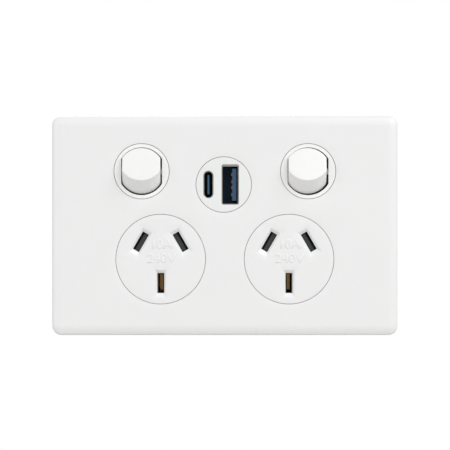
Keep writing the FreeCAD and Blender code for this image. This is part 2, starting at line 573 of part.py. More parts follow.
def socket(name, side):
    """The round face with its slots, and the shutter, spring and pin guide behind it."""
    at = {"x": f"{side} * socket_pitch / 2", "z": "-socket_drop"}
    back = "(face_wall - disc_front)"
    face = turned([("0", "-disc_front"), ("socket_disc", "-disc_front"), ("socket_disc", FLANGE_FRONT),
                   ("socket_disc + flange_reach", FLANGE_FRONT),
                   ("socket_disc + flange_reach", "-frame_front"), (SKIRT, "-frame_front"),
                   (SKIRT, FRAME_BACK), (SKIRT_INSIDE, FRAME_BACK), (SKIRT_INSIDE, back), ("0", back)])
    keep(f"socket_face_{name}", place(less(face, *slot_cutters("-disc_front", back)), **at))

    edge = "(live_out + cos(pin_lean) * shutter_lap)"
    edge_z = "(live_up + sin(pin_lean) * shutter_lap)"
    wide = f"({edge} + ({edge_z} + shutter_foot) * tan(pin_lean))"
    narrow = f"({edge} - (shutter_head - {edge_z}) * tan(pin_lean))"
    slit = "shutter_slit / 2"
    under = "shutter_head - shutter_bridge"
    front = f"({back} + shutter_gap)"
    wings = prism("y", [(f"-{wide}", "-shutter_foot"), (f"-{slit}", "-shutter_foot"), (f"-{slit}", under),
                        (slit, under), (slit, "-shutter_foot"), (wide, "-shutter_foot"),
                        (narrow, "shutter_head"), (f"-{narrow}", "shutter_head")],
                  front, f"{front} + shutter_sheet")
    ramps = []
    for out, lean in ((RIGHT, "-pin_lean"), (LEFT, "pin_lean")):
        tall = about("0", "ramp_half")
        near = (f"{out} * ramp_near", f"{out} * (ramp_near + 2 * shutter_sheet)")
        far = (f"{out} * ramp_far", near[1])
        if out == LEFT:
            near, far = near[::-1], far[::-1]
        deep = (f"{front} - shutter_gap / 2", f"{front} + shutter_sheet - ramp_lip")
        ramp = wedge(near, deep, tall, far, tall)
        ramps.append(place(ramp, x=f"{out} * live_out", z="live_up", angle=lean))
    shutter_at = {"x": at["x"], "z": "pin_rise - socket_drop"}
    keep(f"shutter_{name}", place(less(wings, *ramps), **shutter_at))

    middle = f"({front} + shutter_sheet / 2)"
    spring = coil("spring_radius", "spring_wire", "spring_foot", f"{under} - spring_gap", turns=5)
    keep(f"shutter_spring_{name}", place(group(spring), x=at["x"], y=middle, z="pin_rise - socket_drop"))

    turns = [360 * (side + 0.5) / GUIDE_SIDES for side in range(GUIDE_SIDES)]
    radius = f"({SKIRT_INSIDE} - guide_gap)"
    corners = [(f"{radius} * sin({turn})", f"{radius} * cos({turn})") for turn in turns]
    plate = prism("y", corners, "-guide_front", FRAME_BACK)
    post = block(about("0", "post_wide / 2"), (front, "lap - guide_front"),
                 ("pin_rise + spring_foot - post_tall", "pin_rise + spring_foot"))
    guide = less(joined(plate, post), *slot_cutters("-guide_front", FRAME_BACK))
    keep(f"pin_guide_{name}", place(guide, **at))


def switch(name, side):
    """A collar, its rocker with the sprung plunger in the stem, and the seesaw contact arm."""
    x = f"{side} * switch_pitch / 2"
    collar = turned([("0", "-switch_front"), ("switch_disc", "-switch_front"), ("switch_disc", FLANGE_FRONT),
                     ("switch_disc + flange_reach", FLANGE_FRONT),
                     ("switch_disc + flange_reach", "-frame_front"), ("0", "-frame_front")])
    through = ("-switch_front - past", "0")
    opening = shared(rod("0", through, "0", "opening_radius"),
                     block(about("0", "opening_half"), through, about("0", "opening_radius")))
    ends = about("0", "(axle_reach + axle_end_gap)")
    seats = rod(ends, "-rocker_depth", "0", "axle_radius + axle_gap")
    snaps = block(ends, ("-rocker_depth", "0"), about("0", "axle_snap"))
    keep(f"switch_collar_{name}", place(less(collar, opening, seats, snaps), x=x, z="switch_rise"))

    curves = []
    for tilt, radius in (("rocker_tilt", "rocker_radius"), ("0", "rocker_middle"),
                         ("-rocker_tilt", "rocker_radius")):
        curve = rod("0", about("0", BEYOND), "0", radius)
        bind(curve, "Placement.Rotation.Angle", f"{tilt} - 90")
        bind(curve, "Placement.Base.y", f"-{BEYOND} * cos({tilt})")
        bind(curve, "Placement.Base.z", f"-{BEYOND} * sin({tilt})")
        curves.append(curve)
    slab = block(about("0", "rocker_half"), ("-rocker_tall", "rocker_back"), about("0", BEYOND))
    axles = rod(about("0", "axle_reach"), "0", "0", "axle_radius")
    stem = block(about("0", "stem_half"), ("0", "stem_end"), about("0", "stem_half"))
    bore = rod("0", ("bore_start", "stem_end + past"), "0", "bore_radius")
    hung = {"x": x, "y": "-rocker_depth", "z": "switch_rise", "angle": "-rocker_tilt", "axis_way": (1, 0, 0)}
    keep(f"rocker_{name}", place(less(joined(shared(slab, *curves), axles, stem), bore), **hung))

    pin = turned([("0", "plunger_start"), ("plunger_radius", "plunger_start"),
                  ("plunger_radius", "plunger_reach - tip_tall"), ("tip_radius", "plunger_reach"),
                  ("0", "plunger_reach")])
    keep(f"rocker_plunger_{name}", place(group(pin), **hung))

    spring = coil("plunger_coil", "plunger_wire", "bore_start + spring_gap", "plunger_start - spring_gap",
                  turns=4)
    spring = place(group(spring), angle="-90", axis_way=(1, 0, 0))
    keep(f"plunger_spring_{name}", place(group(spring), **hung))

    centre = "(-arm_rise - arm_cradle)"
    across, past_it = about("0", "arm_half_width"), about("0", "(arm_half_width + past)")
    edge = f"({centre} + sqrt(arm_cradle * arm_cradle - arm_cradle_half * arm_cradle_half))"
    wing = f"({edge} + arm_lip)"
    cradle = less(rod(across, centre, "0", "arm_cradle + arm_sheet"), rod(across, centre, "0", "arm_cradle"))
    trough = shared(cradle, block(across, (edge, BEYOND), about("0", "arm_cradle_half")))
    wings = [block(across, (wing, f"{wing} + arm_sheet"), span)
             for span in (("arm_cradle_half - lap", "arm_half"), ("-arm_half", "lap - arm_cradle_half"))]
    raised = (f"{wing} + lap", f"{wing} + arm_sheet + button_rise")
    button = rod("0", raised, "button_place", "button_radius")
    groove = rod(past_it, "0", "0", "ridge_radius + ridge_gap")
    saddle = block(across, ("lap - arm_rise", "-saddle_gap"), about("0", "saddle_half"))
    pin_path = rod(past_it, centre, "0", "arm_cradle")
    arm = less(joined(trough, *wings, button, saddle), groove, pin_path)
    tipped = {"angle": "arm_swing", "axis_way": (1, 0, 0)}
    keep(f"contact_arm_{name}", place(arm, x=x, y=ARM_DEPTH, z="switch_rise", **tipped))


def jaw(pin, side):
    """A folded brass jaw behind one pin slot: two leaves that pinch the pin, joined at the back."""
    x, z, lean = [entry[1:] for entry in PINS if entry[0] == pin][0]
    base = f"({STRIP_FRONT} + strip / 3)"
    right = [("jaw_mouth", "jaw_front"), ("jaw_mouth + jaw_sheet", "jaw_front"),
             ("jaw_pinch + jaw_sheet", "jaw_grip"), ("jaw_base", "jaw_knee"), ("jaw_base", base)]
    inner = [("jaw_base - jaw_sheet", f"{base} - strip"),
             ("jaw_base - jaw_sheet", "jaw_knee + jaw_sheet / 3"), ("jaw_pinch", "jaw_grip")]
    left = [(f"-({across})", depth) for across, depth in right]
    left_inner = [(f"-({across})", depth) for across, depth in inner]
    folded = prism("z", right + left[::-1] + left_inner[::-1] + inner, "-jaw_wide / 2", "jaw_wide / 2")
    return place(folded, x=f"{side} * socket_pitch / 2 + {x}", z=f"{z} + pin_rise - socket_drop", angle=lean)


def strip_piece(x, z, front=STRIP_FRONT, back="floor_depth"):
    return block(x, (front, back), z)


def active_contact(name, side):
    """A fixed button over the contact arm, and the strip from it down to the active jaw."""
    middle = f"{side} * switch_pitch / 2"
    top = about("switch_rise + button_place", "shelf_half")
    face = f"({ARM_DEPTH} - closed_face)"
    rise = (f"{face} + button_rise", f"{face} + button_rise + strip")
    outer = f"({middle} - {'riser_out' if side == LEFT else 'riser_in'})"
    upright = (outer, f"{outer} + riser_wide")
    shelf = block((outer, f"{middle} + shelf_reach"), rise, top)
    fold = block(upright, (rise[0], "floor_depth"), (f"{top[0]} - strip", top[0]))
    button = rod(middle, (face, f"{rise[0]} + lap / 2"), "switch_rise + button_place", "button_radius")
    foot_x = f"({side} * socket_pitch / 2 - live_out)"
    foot_z = about("(live_up + pin_rise - socket_drop)", "foot_half")
    if side == LEFT:
        legs = [strip_piece(upright, (foot_z[0], top[0]))]
        foot = strip_piece((outer, f"{foot_x} + shelf_reach"), foot_z)
    else:
        hop = (f"{STRIP_FRONT} - hop_rise", f"{STRIP_FRONT} - hop_rise + strip")
        low = ("bus_low - hop_gap - strip", "bus_low - hop_gap")
        high = ("bus_high + hop_gap", "bus_high + hop_gap + strip")
        legs = [strip_piece(upright, (high[0], top[0])), strip_piece(upright, (foot_z[0], low[1])),
                block(upright, (hop[0], "floor_depth"), high), block(upright, (hop[0], "floor_depth"), low),
                block(upright, hop, (low[0], high[1]))]
        foot = strip_piece((f"{foot_x} - shelf_reach", upright[1]), foot_z)
    keep(f"active_contact_{name}", joined(shelf, fold, button, foot, jaw("active", side), *legs))


def brass():
    """The stamped strips that carry the current, with the jaws that are folded from them."""
    tab = (f"{STRIP_FRONT} + lap", BLOCK_FRONT)
    legs, saddles = [], []
    for side in (LEFT, RIGHT):
        leg = about(f"{side} * ({LEG_OUT} + {LEG_IN}) / 2", "(leg_out + leg_in) / 2")
        legs.append(strip_piece(leg, ("bus_low", "switch_rise + leg_up")))
        post = about(f"{side} * switch_pitch / 2", "post_half_x")
        saddles.append(block(post, (ARM_DEPTH, f"{STRIP_FRONT} + strip / 2"),
                             about("switch_rise", "post_half_z")))
        saddles.append(rod(post, ARM_DEPTH, "switch_rise", "ridge_radius"))
    run = strip_piece(about("0", LEG_OUT), ("bus_low", "bus_high"))
    pad = block((f"-{LEG_OUT}", f"-{LEG_IN} - lap"), tab, ("active_pad", "active_pad + pad_rise"))
    keep("active_bus", joined(run, pad, *legs, *saddles))
    for name, side in SIDES:
        active_contact(name, side)

    live_z = "(live_up + pin_rise - socket_drop)"
    left_x, right_x = "(live_out - socket_pitch / 2)", "(live_out + socket_pitch / 2)"
    bar = strip_piece((f"{left_x} - neutral_half", f"{right_x} + neutral_half"),
                      ("neutral_low", "neutral_high"))
    risers = [strip_piece(about(x, "neutral_half"), ("neutral_high - lap", f"{live_z} + foot_half"))
              for x in (left_x, right_x)]
    tail = about(f"({OUTER_BLOCK} + tail_out)", "tail_half")
    tails = [strip_piece((f"{right_x} - neutral_half", tail[1]), about(live_z, "foot_half")),
             strip_piece(tail, (f"{live_z} - foot_half", "pad_rise")), block(tail, tab, ("0", "pad_rise"))]
    keep("neutral_bar", joined(bar, jaw("neutral", LEFT), jaw("neutral", RIGHT), *risers, *tails))

    earth_z = "(pin_rise - earth_down - socket_drop)"
    edge = f"{earth_z} + earth_half"
    bar = strip_piece(about("0", "(socket_pitch / 2 + post_half_x)"), about(earth_z, "earth_half"))
    deep = (f"{STRIP_FRONT} + earth_step", "floor_depth + earth_step")
    riser = about("0", "riser_half")
    jog = block(riser, (STRIP_FRONT, deep[1]), (edge, f"{edge} + strip"))
    rise = block(riser, deep, (edge, "earth_high"))
    run = block(("-riser_half", f"{INNER_BLOCK} - block_half"), deep, ("earth_low", "earth_high"))
    keep("earth_bar", joined(bar, jog, rise, run, jaw("earth", LEFT), jaw("earth", RIGHT)))


def terminals():
    """Brass cages with a square way up through them for the wire, and a slotted screw from behind."""
    middle = "((block_low + block_high) / 2)"
    for name, x in TERMINALS.items():
        body = block(about(x, "block_half"), (BLOCK_FRONT, BLOCK_BACK), ("block_low", "block_high"))
        way = block(about(x, "tunnel_half"), about(TUNNEL_Y, "tunnel_half"),
                    ("block_low - past", "block_high + past"))
        hole = rod(x, (TUNNEL_Y, f"{BLOCK_BACK} + past"), middle, "grub_radius + grub_gap")
        keep(f"{name}_terminal", less(body, way, hole))
        start = f"({TUNNEL_Y} + tunnel_half + grub_lift)"
        screw = rod(x, (start, f"{start} + grub_long"), middle, "grub_radius")
        end = f"{start} + grub_long"
        slot = block(about(x, "2 * grub_radius"), (f"{end} - grub_slot_deep", f"{end} + past"),
                     about(middle, "grub_slot"))
        keep(f"{name}_screw", less(screw, slot))


def waisted(inset):
    """The housing's outline, with cut corners and a waist between the wall screws, drawn in by an inset."""
    wide, waist = f"({HOUSING_HALF} - {inset})", f"({WAIST_HALF} - {inset})"
    top, foot = f"({HOUSING_TOP} - {inset})", f"({inset} - {HOUSING_FOOT})"
    corner = f"(housing_corner - (1 - {SLANT}) * {inset})"
    knee = f"(waist_rise + {SLANT} * {inset})"
    right = [(f"{wide} - {corner}", top), (wide, f"{top} - {corner}"), (wide, f"{knee} + waist_step"),
             (waist, knee), (waist, f"-{knee}"), (wide, f"-{knee} - waist_step"),
             (wide, f"{foot} + {corner}"), (f"{wide} - {corner}", foot)]
    return right + [(f"-({x})", z) for x, z in right[::-1]]


def rear_housing():
    """The moulded base: a waisted tray, with tapered towers for the terminals and the USB module."""
    front = FRAME_BACK
    shell = less(prism("y", waisted("0"), front, HOUSING_BACK),
                 prism("y", waisted("side_wall"), f"{front} - past", "floor_depth"))
    low, high = "(block_low - pocket_gap)", "(block_high + pocket_gap)"
    foot, head = f"{low} - tower_wall", f"{high} + tower_wall"
    near, far = f"({INNER_BLOCK} - block_half - pocket_gap - tower_wall)", WAIST_HALF
    towers = []
    for span, small in (((near, far), (f"{near} + draft", f"{far} - draft")),
                        ((f"-{far}", f"-{near}"), (f"draft - {far}", f"-{near} - draft"))):
        towers.append(wedge(span, ("floor_depth", TOWER_BACK), (foot, head), small,
                            (f"{foot} + draft", head)))
    half_x, half_z = "(module_half_x + pocket_gap)", "(module_half_z + pocket_gap)"
    well_x, well_z = about("usb_x", f"({half_x} + well_wall)"), about("usb_z", f"({half_z} + well_wall)")
    towers.append(wedge(well_x, ("floor_depth", "module_back + pocket_gap + tower_wall"), well_z,
                        about("usb_x", f"({half_x} + well_wall - draft)"),
                        about("usb_z", f"({half_z} + well_wall - draft)")))
    towers.append(wedge(about("0", "pad_half"), ("floor_depth", "floor_depth + earth_step + tower_wall"),
                        ("pad_low", "pad_high"), about("0", "pad_half - 2 * draft"),
                        ("pad_low + 2 * draft", "pad_high")))
    inner = f"({HOUSING_HALF} - side_wall + lap)"
    hang = f"{STRIP_FRONT} - rib_half"
    shelf = about("shelf_rise", "rib_half")
    walls = [block(well_x, (front, "floor_depth + lap"), well_z),
             block((f"-{inner}", "usb_x"), (front, hang), shelf),
             block(("usb_x", inner), (front, hang), shelf)]
    for middle in ("-socket_pitch / 2", "socket_pitch / 2 + rib_shift"):
        walls.append(block(about(middle, "rib_half"), ("-rib_front", hang), ("rib_low", "shelf_rise")))
    walls += [block(about(x, "case_inset"), (front, "floor_depth + lap"), about(z, "case_inset"))
              for x, z in CASE_PLACES]

    cuts = [block(about("usb_x", half_x), (f"{front} - past", "module_back + pocket_gap"),
                  about("usb_z", half_z))]
    for x in TERMINALS.values():
        cuts.append(block(about(x, "(block_half + pocket_gap)"), (STRIP_FRONT, f"{BLOCK_BACK} + pocket_gap"),
                          (low, high)))
        cuts.append(rod(x, TUNNEL_Y, (f"{high} - past", f"{head} + past"), "entry_radius"))
        cuts.append(rod(x, (BLOCK_BACK, f"{TOWER_BACK} + past"), "(block_low + block_high) / 2",
                        "grub_radius + access_gap"))
    deep = (STRIP_FRONT, "floor_depth + earth_step + pocket_gap")
    earth_z = "(pin_rise - earth_down - socket_drop)"
    cuts.append(block(about("0", "(riser_half + pocket_gap)"), deep,
                      (f"{earth_z} + earth_half - pocket_gap", "earth_high + pocket_gap")))
    cuts.append(block(("-riser_half - pocket_gap", f"{INNER_BLOCK} - block_half"), deep,
                      about("(earth_low + earth_high) / 2", "((earth_high - earth_low) / 2 + pocket_gap)")))
    for x in FEEDS.values():
        cuts.append(block(about(f"usb_x + {x}", "(feed_half + feed_room)"),
                          about(f"{BOARD_BACK} + feed_sheet / 2", "(feed_sheet / 2 + feed_room)"),
                          ("0", "feed_exit")))
    for x, z in CASE_PLACES:
        cuts.append(rod(x, (f"{front} - past", f"{HOUSING_BACK} + past"), z, "case_shank + case_gap"))
        cuts.append(rod(x, (CASE_HEAD_Y, f"{HOUSING_BACK} + past"), z, "case_head + 2 * case_gap"))
    keep("rear_housing", less(joined(shell, *towers, *walls), *cuts))


def case_screws():
    screws = []
    for x, z in CASE_PLACES:
        end = f"{CASE_HEAD_Y} + case_head_tall"
        shank = rod(x, (f"{FRAME_BACK} - case_bite", f"{CASE_HEAD_Y} + lap"), z, "case_shank")
        head = rod(x, (CASE_HEAD_Y, end), z, "case_head")
        slot = block(about(x, "2 * case_head"), (f"{end} - case_head_tall / 2", f"{end} + past"),
                     about(z, "case_slot"))
        screws.append(less(joined(shank, head), slot))
    keep("case_screws", group(*screws))


def port_form(name, room, front, back):
    """A port's outline, drawn in by some room and pushed between two depths."""
    x, wide, tall, corner = PORTS[name]
    return rounded(about(x, f"({wide} / 2 - {room})"), (front, back), about("0", f"({tall} / 2 - {room})"),
                   f"{corner} - {room}")


def usb_ports():
    """The module's face with two ports: a steel shell, an insulator with a tongue, and contacts in each."""
    at = {"x": "usb_x", "z": "usb_z"}
    disc = turned([("0", "-usb_front"), ("usb_disc", "-usb_front"), ("usb_disc", FLANGE_FRONT),
                   ("usb_disc + flange_reach", FLANGE_FRONT), ("usb_disc + flange_reach", "-frame_front"),
                   ("0", "-frame_front")])
    holes = [port_form(name, "0", "-usb_front - past", "0") for name in PORTS]
    keep("usb_face", place(less(disc, *holes), **at))
    inside, seats = "(port_gap + shell_sheet)", {}
    for name in PORTS:
        shell = less(port_form(name, "port_gap", "shell_sink - usb_front", "board_front"),
                     port_form(name, inside, "-usb_front", "board_front + past"))
        keep(f"usb_{name}_shell", place(shell, **at))
        seats[name] = port_form(name, f"({inside} + seat_gap)", "port_floor", "board_front")

    sunk, leaf = ("tongue_sink - usb_front", "board_front"), ("leaf_sink - usb_front", "board_front")
    middle = "usb_a_x + tongue_a_x"
    face = f"{middle} - tongue_a_half_x"
    tongue = block(about(middle, "tongue_a_half_x"), sunk, about("0", "tongue_a_half_z"))
    leaf_x = (f"{face} - leaf_a_sheet", face)
    slit = block(leaf_x, leaf, about("0", "tongue_a_half_z"))
    keep("usb_a_tongue", place(less(joined(seats["a"], tongue), slit), **at))
    leaves = [block(leaf_x, leaf, about(z, "leaf_a_half")) for z in CONTACT_PLACES]
    keep("usb_a_contacts", place(group(*leaves), **at))

    tongue = block(about("usb_c_x", "tongue_c_half_x"), sunk, about("0", "tongue_c_half_z"))
    slits, leaves = [], []
    for side in (LEFT, RIGHT):
        leaf_x = about(f"usb_c_x + {side} * (tongue_c_half_x + leaf_c_sheet / 2)", "leaf_c_sheet / 2")
        slits.append(block(leaf_x, leaf, about("0", "tongue_c_half_z")))
        for count in range(FINE_CONTACTS):
            leaf_z = f"({count} - {FINE_CONTACTS - 1} / 2) * leaf_c_step"
            leaves.append(block(leaf_x, leaf, about(leaf_z, "leaf_c_half")))
    keep("usb_c_tongue", place(less(joined(seats["c"], tongue), *slits), **at))
    keep("usb_c_contacts", place(group(*leaves), **at))


def usb_charger():
    """What makes five volts behind the ports: a case, a board and the parts soldered on it."""
    at = {"x": "usb_x", "z": "usb_z"}
    inner_x, inner_z = "(module_half_x - module_wall)", "(module_half_z - module_wall)"
    box = less(block(about("0", "module_half_x"), (FRAME_BACK, "module_back"), about("0", "module_half_z")),
               block(about("0", inner_x), (f"{FRAME_BACK} - past", "module_back - module_wall"),
                     about("0", inner_z)))
    slit_y = about(f"{BOARD_BACK} + feed_sheet / 2", "(feed_sheet + feed_room) / 2")
    slit_z = ("-module_half_z - past", f"lap - {inner_z}")
    slits = [block(about(x, "(feed_half + feed_room)"), slit_y, slit_z) for x in FEEDS.values()]
    keep("usb_housing", place(less(box, *slits), **at))
    board = block(about("0", f"({inner_x} - board_gap)"), ("board_front", BOARD_BACK),
                  about("0", f"({inner_z} - board_gap)"))
    keep("usb_board", place(group(board), **at))

    core_z = "(core_low + core_high) / 2"
    top = f"{BOARD_BACK} + core_tall"
    windows = [block(about(f"{side} * limb_x", "window_half_x"), (f"{BOARD_BACK} - past", f"{top} + past"),
                     about(core_z, "window_half_z")) for side in (LEFT, RIGHT)]
    core = less(block(about("0", "core_half_x"), (BOARD_BACK, top), ("core_low", "core_high")), *windows)
    keep("usb_transformer", place(core, **at))
    wound = [block(about(f"{side} * limb_x", "coil_half_x"), (f"{BOARD_BACK} + coil_start", f"{top} + lap"),
                   about(core_z, "coil_half_z")) for side in (LEFT, RIGHT)]
    cap = block(about("0", "(limb_x + coil_half_x)"), (f"{top} + spring_gap", f"{top} + coil_cap"),
                about(core_z, "coil_half_z"))
    keep("usb_winding", place(joined(cap, *wound), **at))
    cans = [rod(f"{side} * can_x", (BOARD_BACK, f"{BOARD_BACK} + can_tall"), "can_z", "can_radius")
            for side in (LEFT, RIGHT)]
    keep("usb_capacitors", place(group(*cans), **at))
    chip = block(about("0", "chip_half_x"), (BOARD_BACK, f"{BOARD_BACK} + chip_tall"),
                 ("chip_low", "chip_high"))
    keep("usb_controller", place(group(chip), **at))
    for name, end in FEED_ENDS.items():
        pin_x = about(f"usb_x + {FEEDS[name]}", "feed_half")
        leaf = block(pin_x, (BOARD_BACK, f"{BOARD_BACK} + feed_sheet"),
                     (f"{end} - feed_sheet / 2", "usb_z - module_half_z + feed_up"))
        foot = block(pin_x, (f"{BOARD_BACK} + lap", STRIP_FRONT), about(end, "feed_sheet / 2"))
        keep(f"usb_{name}_feed", joined(leaf, foot))


cover_plate()
mounting_frame()
for name, side in SIDES:
    socket(name, side)
    switch(name, side)
brass()
terminals()
rear_housing()
case_screws()
usb_ports()
usb_charger()
doc.recompute()

failed = [item for item in doc.Objects if "Invalid" in item.State or "Error" in item.State]
if failed:
    raise RuntimeError("not built: " + ", ".join(f"{item.Name} {item.getStatusString()}" for item in failed))
os.makedirs("parts", exist_ok=True)
for item in NODES:
    if item.Shape.isNull() or not item.Shape.isValid() or not item.Shape.Solids:
        raise RuntimeError(f"{item.Label} has no valid solid")
    item.Shape.exportStep(f"parts/{item.Label}.step")
    print(item.Label, len(item.Shape.Solids), round(item.Shape.Volume, 1))
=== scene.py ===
import math

import bmesh
import bpy
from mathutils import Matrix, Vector
from mathutils.geometry import delaunay_2d_cdt


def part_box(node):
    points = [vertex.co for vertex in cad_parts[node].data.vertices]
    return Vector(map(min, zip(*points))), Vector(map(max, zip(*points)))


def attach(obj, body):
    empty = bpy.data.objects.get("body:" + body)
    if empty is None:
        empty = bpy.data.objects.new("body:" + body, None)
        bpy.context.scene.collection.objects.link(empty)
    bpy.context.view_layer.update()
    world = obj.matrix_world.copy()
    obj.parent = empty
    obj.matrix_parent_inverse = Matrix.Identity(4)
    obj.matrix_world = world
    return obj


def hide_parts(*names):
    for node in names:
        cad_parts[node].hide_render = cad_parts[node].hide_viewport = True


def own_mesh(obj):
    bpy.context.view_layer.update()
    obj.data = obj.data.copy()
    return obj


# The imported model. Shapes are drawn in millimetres, from the frame's own boxes, and
# scaled once to metres.
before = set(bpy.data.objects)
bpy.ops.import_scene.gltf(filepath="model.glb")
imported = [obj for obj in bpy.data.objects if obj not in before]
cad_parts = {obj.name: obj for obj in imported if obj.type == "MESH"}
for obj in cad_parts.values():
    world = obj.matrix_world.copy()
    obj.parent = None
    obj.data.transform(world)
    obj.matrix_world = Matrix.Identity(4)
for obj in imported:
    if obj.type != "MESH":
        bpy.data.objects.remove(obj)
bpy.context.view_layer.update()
MM = 0.001


# The camera looks straight at the plate's front, as the photograph does. A long lens keeps the
# sides of the rockers out of sight. The picture takes in a little more than the plate's width.
def low_and_high(node):
    """The two corners of a node's box, in millimetres."""
    return [Vector(corner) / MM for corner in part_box(node)]


PLATE_LOW, PLATE_HIGH = low_and_high("cover_plate")
SEEN_WIDTH = 155.6
CAMERA_ACROSS, CAMERA_BACK, CAMERA_UP = 0.05, 800, 0.22
scene = bpy.context.scene
scene.view_settings.view_transform = "Standard"
lens = bpy.data.cameras.new("camera")
lens.lens = lens.sensor_width * (CAMERA_BACK + PLATE_LOW.y) / SEEN_WIDTH
camera = bpy.data.objects.new("camera", lens)
camera.location = Vector((CAMERA_ACROSS, -CAMERA_BACK, CAMERA_UP)) * MM
camera.rotation_euler = (math.radians(90), 0, 0)
scene.collection.objects.link(camera)
scene.camera = camera


# A plain white surround, a pale floor well below the plate, and three soft lamps: a large one
# above and to the right, a weak one on the left, and a small one behind. The surround shows as
# white and lights the object less than that.
def surround(strength):
    world = bpy.data.worlds.new("surround")
    world.use_nodes = True
    nodes, links = world.node_tree.nodes, world.node_tree.links
    nodes.clear()
    path = nodes.new("ShaderNodeLightPath")
    seen = path.outputs["Is Camera Ray"]
    for kind in ("Is Glossy Ray", "Is Transmission Ray"):
        either = nodes.new("ShaderNodeMath")
        either.operation = "MAXIMUM"
        links.new(seen, either.inputs[0])
        links.new(path.outputs[kind], either.inputs[1])
        seen = either.outputs[0]
    mix = nodes.new("ShaderNodeMixShader")
    links.new(seen, mix.inputs["Fac"])
    for entry, power in ((1, strength), (2, 1.0)):
        light = nodes.new("ShaderNodeBackground")
        light.inputs["Color"].default_value = (1, 1, 1, 1)
        light.inputs["Strength"].default_value = power
        links.new(light.outputs[0], mix.inputs[entry])
    links.new(mix.outputs[0], nodes.new("ShaderNodeOutputWorld").inputs["Surface"])
    scene.world = world


def lamp(name, place, size, power):
    light = bpy.data.lights.new(name, "AREA")
    light.size = size
    light.energy = power
    thing = bpy.data.objects.new(name, light)
    thing.location = place
    thing.rotation_euler = (-Vector(place)).to_track_quat("-Z", "Y").to_euler()
    scene.collection.objects.link(thing)


def pale_floor(height, half_width, front, back, colour):
    """A plain floor, too far below to be seen from straight ahead."""
    data = bpy.data.meshes.new("floor")
    corners = [(-half_width, front, height), (half_width, front, height),
               (half_width, back, height), (-half_width, back, height)]
    data.from_pydata(corners, [], [(0, 1, 2, 3)])
    paint = bpy.data.materials.new("floor_paint")
    paint.use_nodes = True
    paint.node_tree.nodes["Principled BSDF"].inputs["Base Color"].default_value = (*colour, 1)
    data.materials.append(paint)
    floor = bpy.data.objects.new("floor", data)
    scene.collection.objects.link(floor)


surround(0.37)
pale_floor(-0.11, 0.4, -0.4, 0.2, (0.65, 0.65, 0.64))
lamp("key", (0.68, -0.76, 0.66), 1.1, 10.3)
lamp("fill", (-0.8, -0.7, 0.25), 0.8, 3.4)
lamp("behind", (-0.3, 0.9, 0.7), 0.6, 4.0)


# The rear housing is the moulded base behind the wall. It is a matt white plastic, with four
# plated steel screws that hold it to the mounting frame from behind. Each terminal's letter stands
# below its screw.
class Field:
    """A shader socket. Masks and colours are written as sums, and each operator adds a node."""

    def __init__(self, finish, socket):
        self.finish, self.socket = finish, socket

    def maths(self, operation, *values):
        inputs = dict(enumerate(values))
        return self.finish.node("ShaderNodeMath", {"operation": operation}, inputs)

    def __add__(self, other):
        return self.maths("ADD", self, other)

    def __sub__(self, other):
        return self.maths("SUBTRACT", self, other)

    def __mul__(self, other):
        return self.maths("MULTIPLY", self, other)

    def __rsub__(self, other):
        return self.maths("SUBTRACT", other, self)

    def __lt__(self, other):
        return self.maths("LESS_THAN", self, other)

    __radd__, __rmul__ = __add__, __mul__


class Finish:
    """A material with one Principled shader, and the methods that feed it."""

    def __init__(self, name, colour, roughness, metallic=0.0, coat=0.0):
        self.material = bpy.data.materials.new(name)
        self.material.use_nodes = True
        self.tree = self.material.node_tree
        self.shader = self.tree.nodes["Principled BSDF"]
        self.set("Base Color", (*colour, 1))
        self.set("Roughness", roughness)
        self.set("Metallic", metallic)
        self.set("Coat Weight", coat)
        self.place = self.node("ShaderNodeTexCoord", out="Object")

    def node(self, kind, settings=None, inputs=None, out=0):
        made = self.tree.nodes.new(kind)
        for key, value in (settings or {}).items():
            setattr(made, key, value)
        for key, value in (inputs or {}).items():
            self.feed(made.inputs[key], value)
        return Field(self, made.outputs[out])

    def feed(self, socket, value):
        if isinstance(value, Field):
            self.tree.links.new(value.socket, socket)
        else:
            socket.default_value = value

    def set(self, socket, value):
        self.feed(self.shader.inputs[socket], value)

    def noise(self, scale, detail=3.0, stretch=(1, 1, 1)):
        spot = self.node("ShaderNodeVectorMath", {"operation": "MULTIPLY"},
                         {0: self.place, 1: stretch})
        inputs = {"Vector": spot, "Scale": scale, "Detail": detail}
        return self.node("ShaderNodeTexNoise", inputs=inputs)

    def along(self, axis):
        return self.node("ShaderNodeSeparateXYZ", inputs={"Vector": self.place}, out=axis)

    def fade(self, start, end):
        """A mask that rises from 0 to 1 between two depths, in millimetres."""
        inputs = {"Value": self.along("Y"), "From Min": start * MM, "From Max": end * MM}
        return self.node("ShaderNodeMapRange", inputs=inputs)

    def between(self, mask, first, second):
        """The first colour where the mask is 0 and the second where it is 1."""
        first, second = (tone if isinstance(tone, Field) else (*tone, 1)
                         for tone in (first, second))
        made = self.tree.nodes.new("ShaderNodeMix")
        made.data_type = "RGBA"
        for key, value in {"Factor": mask, "A": first, "B": second}.items():
            chosen = [socket for socket in made.inputs if socket.name == key and socket.enabled]
            self.feed(chosen[0], value)
        return Field(self, [socket for socket in made.outputs if socket.enabled][0])

    def bump(self, height, strength, distance):
        """Raises the surface by a height in millimetres, without any change of the mesh."""
        inputs = {"Height": height, "Strength": strength, "Distance": distance * MM}
        self.set("Normal", self.node("ShaderNodeBump", inputs=inputs))


CLOUD_SCALE, SHEEN_SCALE, SKIN_SCALE = 55.0, 240.0, 1500.0
SHEEN_SWING, SKIN_HEIGHT = 0.04, 0.04


